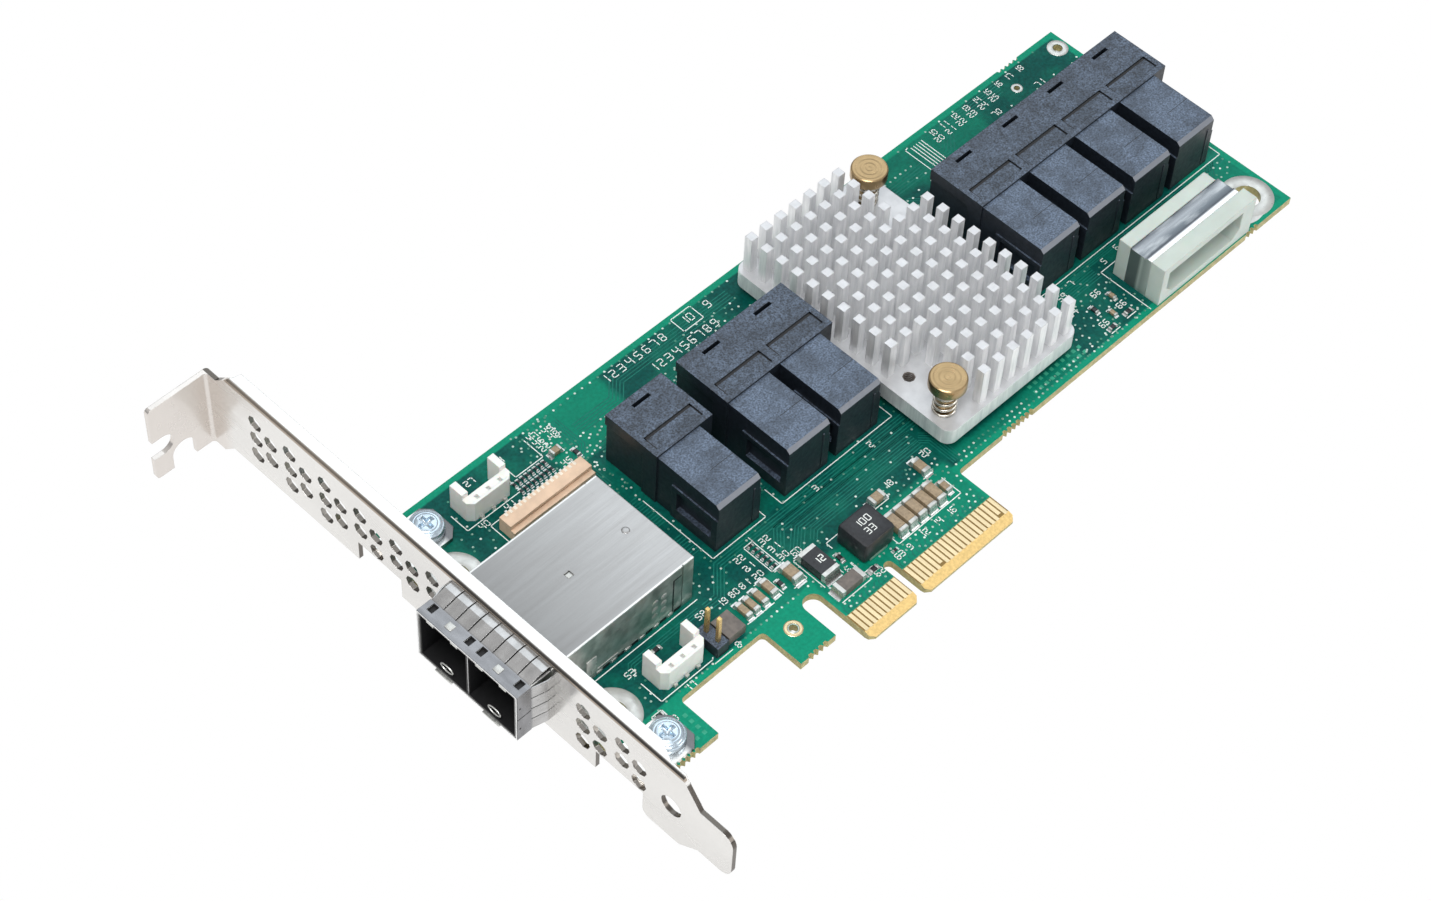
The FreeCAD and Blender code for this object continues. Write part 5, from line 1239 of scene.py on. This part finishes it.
class CARD_OT_screws(bpy.types.Operator):
    """Turns the bracket screws, the spring screws, their coil springs and the thread of the seat hole"""
    bl_idname = "card.screws"
    bl_label = "Screws and springs"

    def execute(self, context):
        low, high = box_mm("bracket_screws")
        left, near, far = low[0] + PAN_RADIUS, low[1] + PAN_RADIUS, high[1] - PAN_RADIUS
        heads = joined([pan_head((left, y), low[2], high[2]) for y in (near, far)])
        make_piece("pan_head_screws", heads, "zinc", sharp=50, stands_for=["bracket_screws"])
        low, high = box_mm("spring_screws")
        places = [low[:2] + KNOB_RADIUS, high[:2] - KNOB_RADIUS]
        knobs = turned(knob_profile(low[2], high[2]), places, 72)
        make_piece("turned_spring_screws", knobs, "brass", sharp=30,
                   stands_for=["spring_screws"])
        low, high = box_mm("springs")
        coils = joined([helix(at, low[2], high[2], wire=0.275, turns=5.2, outer=2.1) for at in places])
        make_piece("coil_springs", coils, "wire", stands_for=["springs"])
        # The thread wears dark ferrite, a painted shade inside the seat hole
        thread = helix(SEAT_HOLE, 2.1, 5.3, wire=0.12, turns=8, outer=1.14)
        make_piece("seat_hole_thread", thread, "ferrite")
        return {"FINISHED"}


def port_pieces():
    """Linings painted black as the shade inside the outer ports, loops, rims painted bright as a highlight,
    lips and collar tabs of the outer ports.
    """
    shade_linings, loops, lips, tabs = [], [], [], []
    front, roof = CAGE_LOW[0], CAGE_HIGH[2]
    for low, high in PORTS:
        middle = (low[1] + high[1]) / 2
        ys, zs = (low[1] + 0.02, high[1] - 0.02), (low[2] + 0.32, high[2] - 0.02)
        # Black linings over the inner walls of each port, painted shade
        shade_linings.append(sleeve((front + 0.15, low[0] + 0.1), ys, zs, wall=0.12))
        loops.append(oval_ring((front + 0.5, middle - 0.2, zs[0] + 1.0), wide=1.35, tall=0.7, wire=0.13))
        lips.append((front - 0.5, middle - 2.2, 0.0, front + 0.2, middle + 1.6, 0.22))
        tabs.append((front + 1.0, middle - 0.75, roof + 0.15, front + 2.3, middle + 0.65, roof + 0.34))
    make_piece("port_shade_linings", joined(shade_linings), "shade")
    make_piece("port_loops", joined(loops), "tin")
    low, high = box_mm("cage_divider")
    proud, grown, deep, wall = 0.03, 0.02, 0.1, 0.2
    divider = [(low[0] - proud, low[1] - grown, low[2] + 0.05, low[0] + deep, high[1] + grown, high[2])]
    ys, zs = (CAGE_LOW[1] - wall, CAGE_HIGH[1] + wall), (-wall, roof + wall)
    mouth = sleeve((front - grown, front + deep), ys, zs, wall=0.25)
    # The rims of the mouth and of the divider are painted bright as a highlight on the sheet's edges
    make_piece("port_rims", joined([mouth, round_boxes(divider, 0.03)]), "rim")
    make_piece("port_lips", round_boxes(lips, 0.08), "tin")
    make_piece("collar_tabs", round_boxes(tabs, 0.09), "tin")


def dimple(level):
    """Profile of a low dome that stands on a level: radius and height go round a flattened quarter circle."""
    way, base = np.linspace(0, np.pi / 2, 8), level - 0.05
    arc = np.stack([0.75 * np.cos(way), base + 0.16 * np.sin(way)], 1)
    arc[-1, 0] = 0.0
    return [(0.0, base), *arc]


def roof_pieces():
    """Dimple, fold and sunk tab of the cage's roof."""
    roof = CAGE_HIGH[2]
    make_piece("roof_dimple", turned(dimple(roof), [ROOF_DIMPLE], 32), "cage")
    back = box_mm("cage_rear_cover")[1][0]
    fold = [(CAGE_HIGH[0] - 0.4, CAGE_LOW[1] + 0.2, back - 0.3, CAGE_HIGH[1] - 0.2)]
    make_piece("roof_fold", plates(fold, roof - 0.1, roof + 0.004), "roof")
    tab = [(*ROOF_TAB[0], roof - 0.35, *ROOF_TAB[1], roof - 0.2)]
    make_piece("roof_tab", round_boxes(tab, 0.05), "tin")


def against(side, proud, spans):
    """Boxes that stand proud of an upright side along X and reach a little into it."""
    inside = side + 0.1
    return [(x0, side - proud, z0, x1, inside, z1) for x0, z0, x1, z1 in spans]


def side_pieces():
    """Dimples, slots and seams painted dark as shade, and feet on the cage's near side, and the curls along
    the front of its roof.
    """
    front, roof, side = CAGE_LOW[0], CAGE_HIGH[2], CAGE_LOW[1]
    band = side - 0.2
    points, faces = turned(dimple(roof), SIDE_DIMPLES, 24)
    lying = np.stack([points[:, 0], side + roof - points[:, 2], points[:, 1]], 1)
    make_piece("side_dimples", (lying, faces), "tin")
    # Dark plates where the slots and seams open, painted shade
    slots = against(side, 0.03, FOOT_SLOTS) + against(side, 0.05, SIDE_SEAMS)
    slots += against(band, 0.03, BAND_SLOTS)
    make_piece("cage_foot_slots", round_boxes(slots, 0.05), "shade")
    feet = against(side, 0.12, CAGE_FEET) + against(side, 0.08, SIDE_STRIP)
    half, tall = 0.8, 0.7
    feet += [(front - 0.03, y - half, roof - tall, front + 0.2, y + half, roof) for y in ROOF_CURLS]
    make_piece("cage_feet", round_boxes(feet, 0.06), "tin")


class CARD_OT_cage_details(bpy.types.Operator):
    """Adds the linings, loops, rims and lips of the outer ports and the small marks of the cage"""
    bl_idname = "card.cage_details"
    bl_label = "Cage details"

    def execute(self, context):
        port_pieces()
        roof_pieces()
        side_pieces()
        return {"FINISHED"}


def socket_pieces():
    """Seams and ribs of the boxes that take the plugs, and painted shadows along the edges of the bare labels
    of the hoods.
    """
    seams, ribs, shadow_edges = [], [], []
    seam_y, seam_share, rib_in, rib_wide, rib_zs = 6.2, 0.45, 1.5, 0.4, (0.6, 9.2)
    label_xs, label_ys, label_end = (0.8, 11.2), (10.7, 7.6), 0.5
    for node, ports in SOCKETS.items():
        low, high = box_mm(node)
        front, back = high[1] - label_ys[0], high[1] - label_ys[1]
        for port in range(ports):
            start = low[0] + HOOD_MARGIN + PORT_PITCH * port
            end = start + WAFER_WIDE
            seams.append((start + WAFER_WIDE * seam_share, low[1] + seam_y, end, low[1] + seam_y + 0.1))
            ribs += against(low[1], 0.12, [(end - rib_in, rib_zs[0], end - rib_in + rib_wide, rib_zs[1])])
            # Painted shadows along the left, right and back edges of each label
            left, right = start + label_xs[0], start + label_xs[1]
            shadow_edges += [(left, front, left + 0.3, back), (right - 0.2, front, right, back)]
            shadow_edges.append((left, back - label_end, right, back))
    seam = plates(seams, WAFER_TOP - 0.02, WAFER_TOP + 0.01)
    make_piece("wafer_seams", seam, "shade")
    label = high[2] - 0.25
    make_piece("label_shadows", plates(shadow_edges, label - 0.02, label + 0.02), "shade")
    make_piece("wafer_ribs", round_boxes(ribs, 0.08), "black")


class CARD_OT_socket_details(bpy.types.Operator):
    """Adds the inner sockets' seams and ribs, the ribbon socket's teeth and the headers' smooth fronts"""
    bl_idname = "card.socket_details"
    bl_label = "Socket details"

    def execute(self, context):
        socket_pieces()
        low, high = box_mm("ribbon_socket")
        pitch, wide = 1.0, 0.55
        starts = np.arange(low[0] + 0.9, high[0] - pitch, pitch)
        back, top = high[1] + 0.02, high[2] + 0.05
        teeth = [(x, high[1] - 0.75, high[2] - 0.4, x + wide, back, top) for x in starts]
        make_piece("ribbon_teeth", round_boxes(teeth, 0.08), "cream")
        covers, proud = [], 0.005
        for node in ("upper_header", "lower_header"):
            low, high = box_mm(node)
            covers.append((low[0] + HEADER_BEVEL, low[1] - proud, high[0] - HEADER_BEVEL, low[1] + 0.5))
        make_piece("header_covers", plates(covers, 0.7, HEADER_WALL + proud), "white")
        return {"FINISHED"}


def show_white(tree, seen, lit, white, output):
    """Rays that are seen meet plain white, and all others meet what is lit."""
    mix = tree.nodes.new("ShaderNodeMixShader")
    tree.links.new(seen, mix.inputs["Fac"])
    tree.links.new(lit.outputs[0], mix.inputs[1])
    tree.links.new(white.outputs[0], mix.inputs[2])
    tree.links.new(mix.outputs[0], tree.nodes[output].inputs["Surface"])


def lay_floor(context, stage):
    """A wide pale floor just under the card, plain white to the camera and in mirrors."""
    half, count, below = 3.0, 13, 0.0002
    across = np.linspace(-half, half, count)
    x, y = np.meshgrid(across, across, indexing="ij")
    points = np.stack([x, y, np.full_like(x, CAD_BOX[0][2] - below)], -1).reshape(-1, 3)
    mesh = bpy.data.meshes.new("floor")
    mesh.from_pydata(points.tolist(), [], grid_faces(count, count, False)[:, ::-1].tolist())
    floor = bpy.data.objects.new("floor", mesh)
    context.scene.collection.objects.link(floor)
    pale = Finish("floor_pale", stage.floor, 0.85).mottle(0.002, 0.01)
    rays = pale.add("ShaderNodeLightPath")
    seen = pale.either(rays.outputs["Is Camera Ray"], rays.outputs["Is Glossy Ray"])
    show_white(pale.tree, seen, pale.shader, pale.add("ShaderNodeEmission"), "Material Output")
    mesh.materials.append(pale.material)


# Colours of the sky at the horizon and above, and the height where it is full
HORIZON, WHITE, FULL_SKY = (0.42, 0.43, 0.45, 1.0), (1.0, 1.0, 1.0, 1.0), 0.85


def light_sky(context, stage):
    """Soft light from all round, brighter above, and plain white to the camera."""
    world = bpy.data.worlds.new("studio")
    context.scene.world = world
    world.use_nodes = True
    tree = world.node_tree
    light = tree.nodes["Background"]
    light.inputs["Strength"].default_value = stage.sky
    direction = tree.nodes.new("ShaderNodeTexCoord")
    split = tree.nodes.new("ShaderNodeSeparateXYZ")
    ramp = tree.nodes.new("ShaderNodeValToRGB")
    low, high = ramp.color_ramp.elements
    low.color = HORIZON
    high.color = WHITE
    high.position = FULL_SKY
    tree.links.new(direction.outputs["Generated"], split.inputs[0])
    tree.links.new(split.outputs["Z"], ramp.inputs["Fac"])
    tree.links.new(ramp.outputs["Color"], light.inputs["Color"])
    white = tree.nodes.new("ShaderNodeBackground")
    white.inputs["Color"].default_value = WHITE
    rays = tree.nodes.new("ShaderNodeLightPath")
    show_white(tree, rays.outputs["Is Camera Ray"], light, white, "World Output")


# Lamps: place in metres, share of the key lamp's power, size in metres and colour
LAMPS = {
    "key_lamp": ((-0.28, -0.12, 0.75), 1.0, 0.36, (1.0, 1.0, 1.0)),
    "front_lamp": ((0.34, -0.6, 0.32), 0.4, 0.4, (1.0, 1.0, 1.0)),
    "back_lamp": ((0.386, 0.363, 0.632), 0.34, 0.6, (0.84, 0.93, 1.0)),
}
LAMP_AIM = (0.02, 0.035, 0.0)


def hang_lamp(context, name, place, power, size, colour):
    """A square lamp that looks at the middle of the card."""
    lamp = bpy.data.lights.new(name, "AREA")
    lamp.color = colour
    lamp.energy = power
    lamp.size = size
    holder = bpy.data.objects.new(name, lamp)
    context.scene.collection.objects.link(holder)
    holder.location = place
    aim = np.subtract(LAMP_AIM, place)
    tilt = math.acos(-aim[2] / np.linalg.norm(aim))
    holder.rotation_euler = (tilt, 0.0, math.atan2(aim[1], aim[0]) - math.pi / 2)


class CARD_OT_stage(bpy.types.Operator):
    """Sets the floor, the light and the camera"""
    bl_idname = "card.stage"
    bl_label = "Stage"

    def execute(self, context):
        stage = context.scene.card_stage
        lay_floor(context, stage)
        light_sky(context, stage)
        for name, (place, share, size, colour) in LAMPS.items():
            hang_lamp(context, name, place, stage.key * share, size, colour)
        camera = bpy.data.cameras.new("camera")
        camera.lens = stage.lens
        camera.sensor_width = 36.0
        camera.sensor_fit = "HORIZONTAL"
        camera.clip_start = 0.01
        holder = bpy.data.objects.new("camera", camera)
        holder.location = stage.camera_place
        holder.rotation_euler = stage.camera_turn
        context.scene.collection.objects.link(holder)
        context.scene.camera = holder
        context.scene.view_settings.view_transform = "Standard"
        return {"FINISHED"}


class CARD_PT_panel(bpy.types.Panel):
    """Lists the steps that dress the card"""
    bl_idname = "CARD_PT_panel"
    bl_label = "Expander card"
    bl_space_type = "VIEW_3D"
    bl_region_type = "UI"
    bl_category = "Card"

    def draw(self, context):
        for step in STEPS:
            self.layout.operator(step.bl_idname)


STEPS = [CARD_OT_finishes, CARD_OT_board_print, CARD_OT_plated_rings, CARD_OT_small_parts, CARD_OT_coil,
         CARD_OT_power_parts, CARD_OT_screws, CARD_OT_cage_details, CARD_OT_socket_details, CARD_OT_stage]
GROUPS = {"card_colours": CardColours, "card_sizes": CardSizes, "card_stage": CardStage}


def register():
    for kind in (*GROUPS.values(), *STEPS, CARD_PT_panel):
        bpy.utils.register_class(kind)
    for name, kind in GROUPS.items():
        setattr(bpy.types.Scene, name, bpy.props.PointerProperty(type=kind))


def unregister():
    for name in GROUPS:
        delattr(bpy.types.Scene, name)
    for kind in reversed((*GROUPS.values(), *STEPS, CARD_PT_panel)):
        bpy.utils.unregister_class(kind)


def main():
    register()
    for step in STEPS:
        group, name = step.bl_idname.split(".")
        getattr(getattr(bpy.ops, group), name)()


if __name__ == "__main__":
    main()
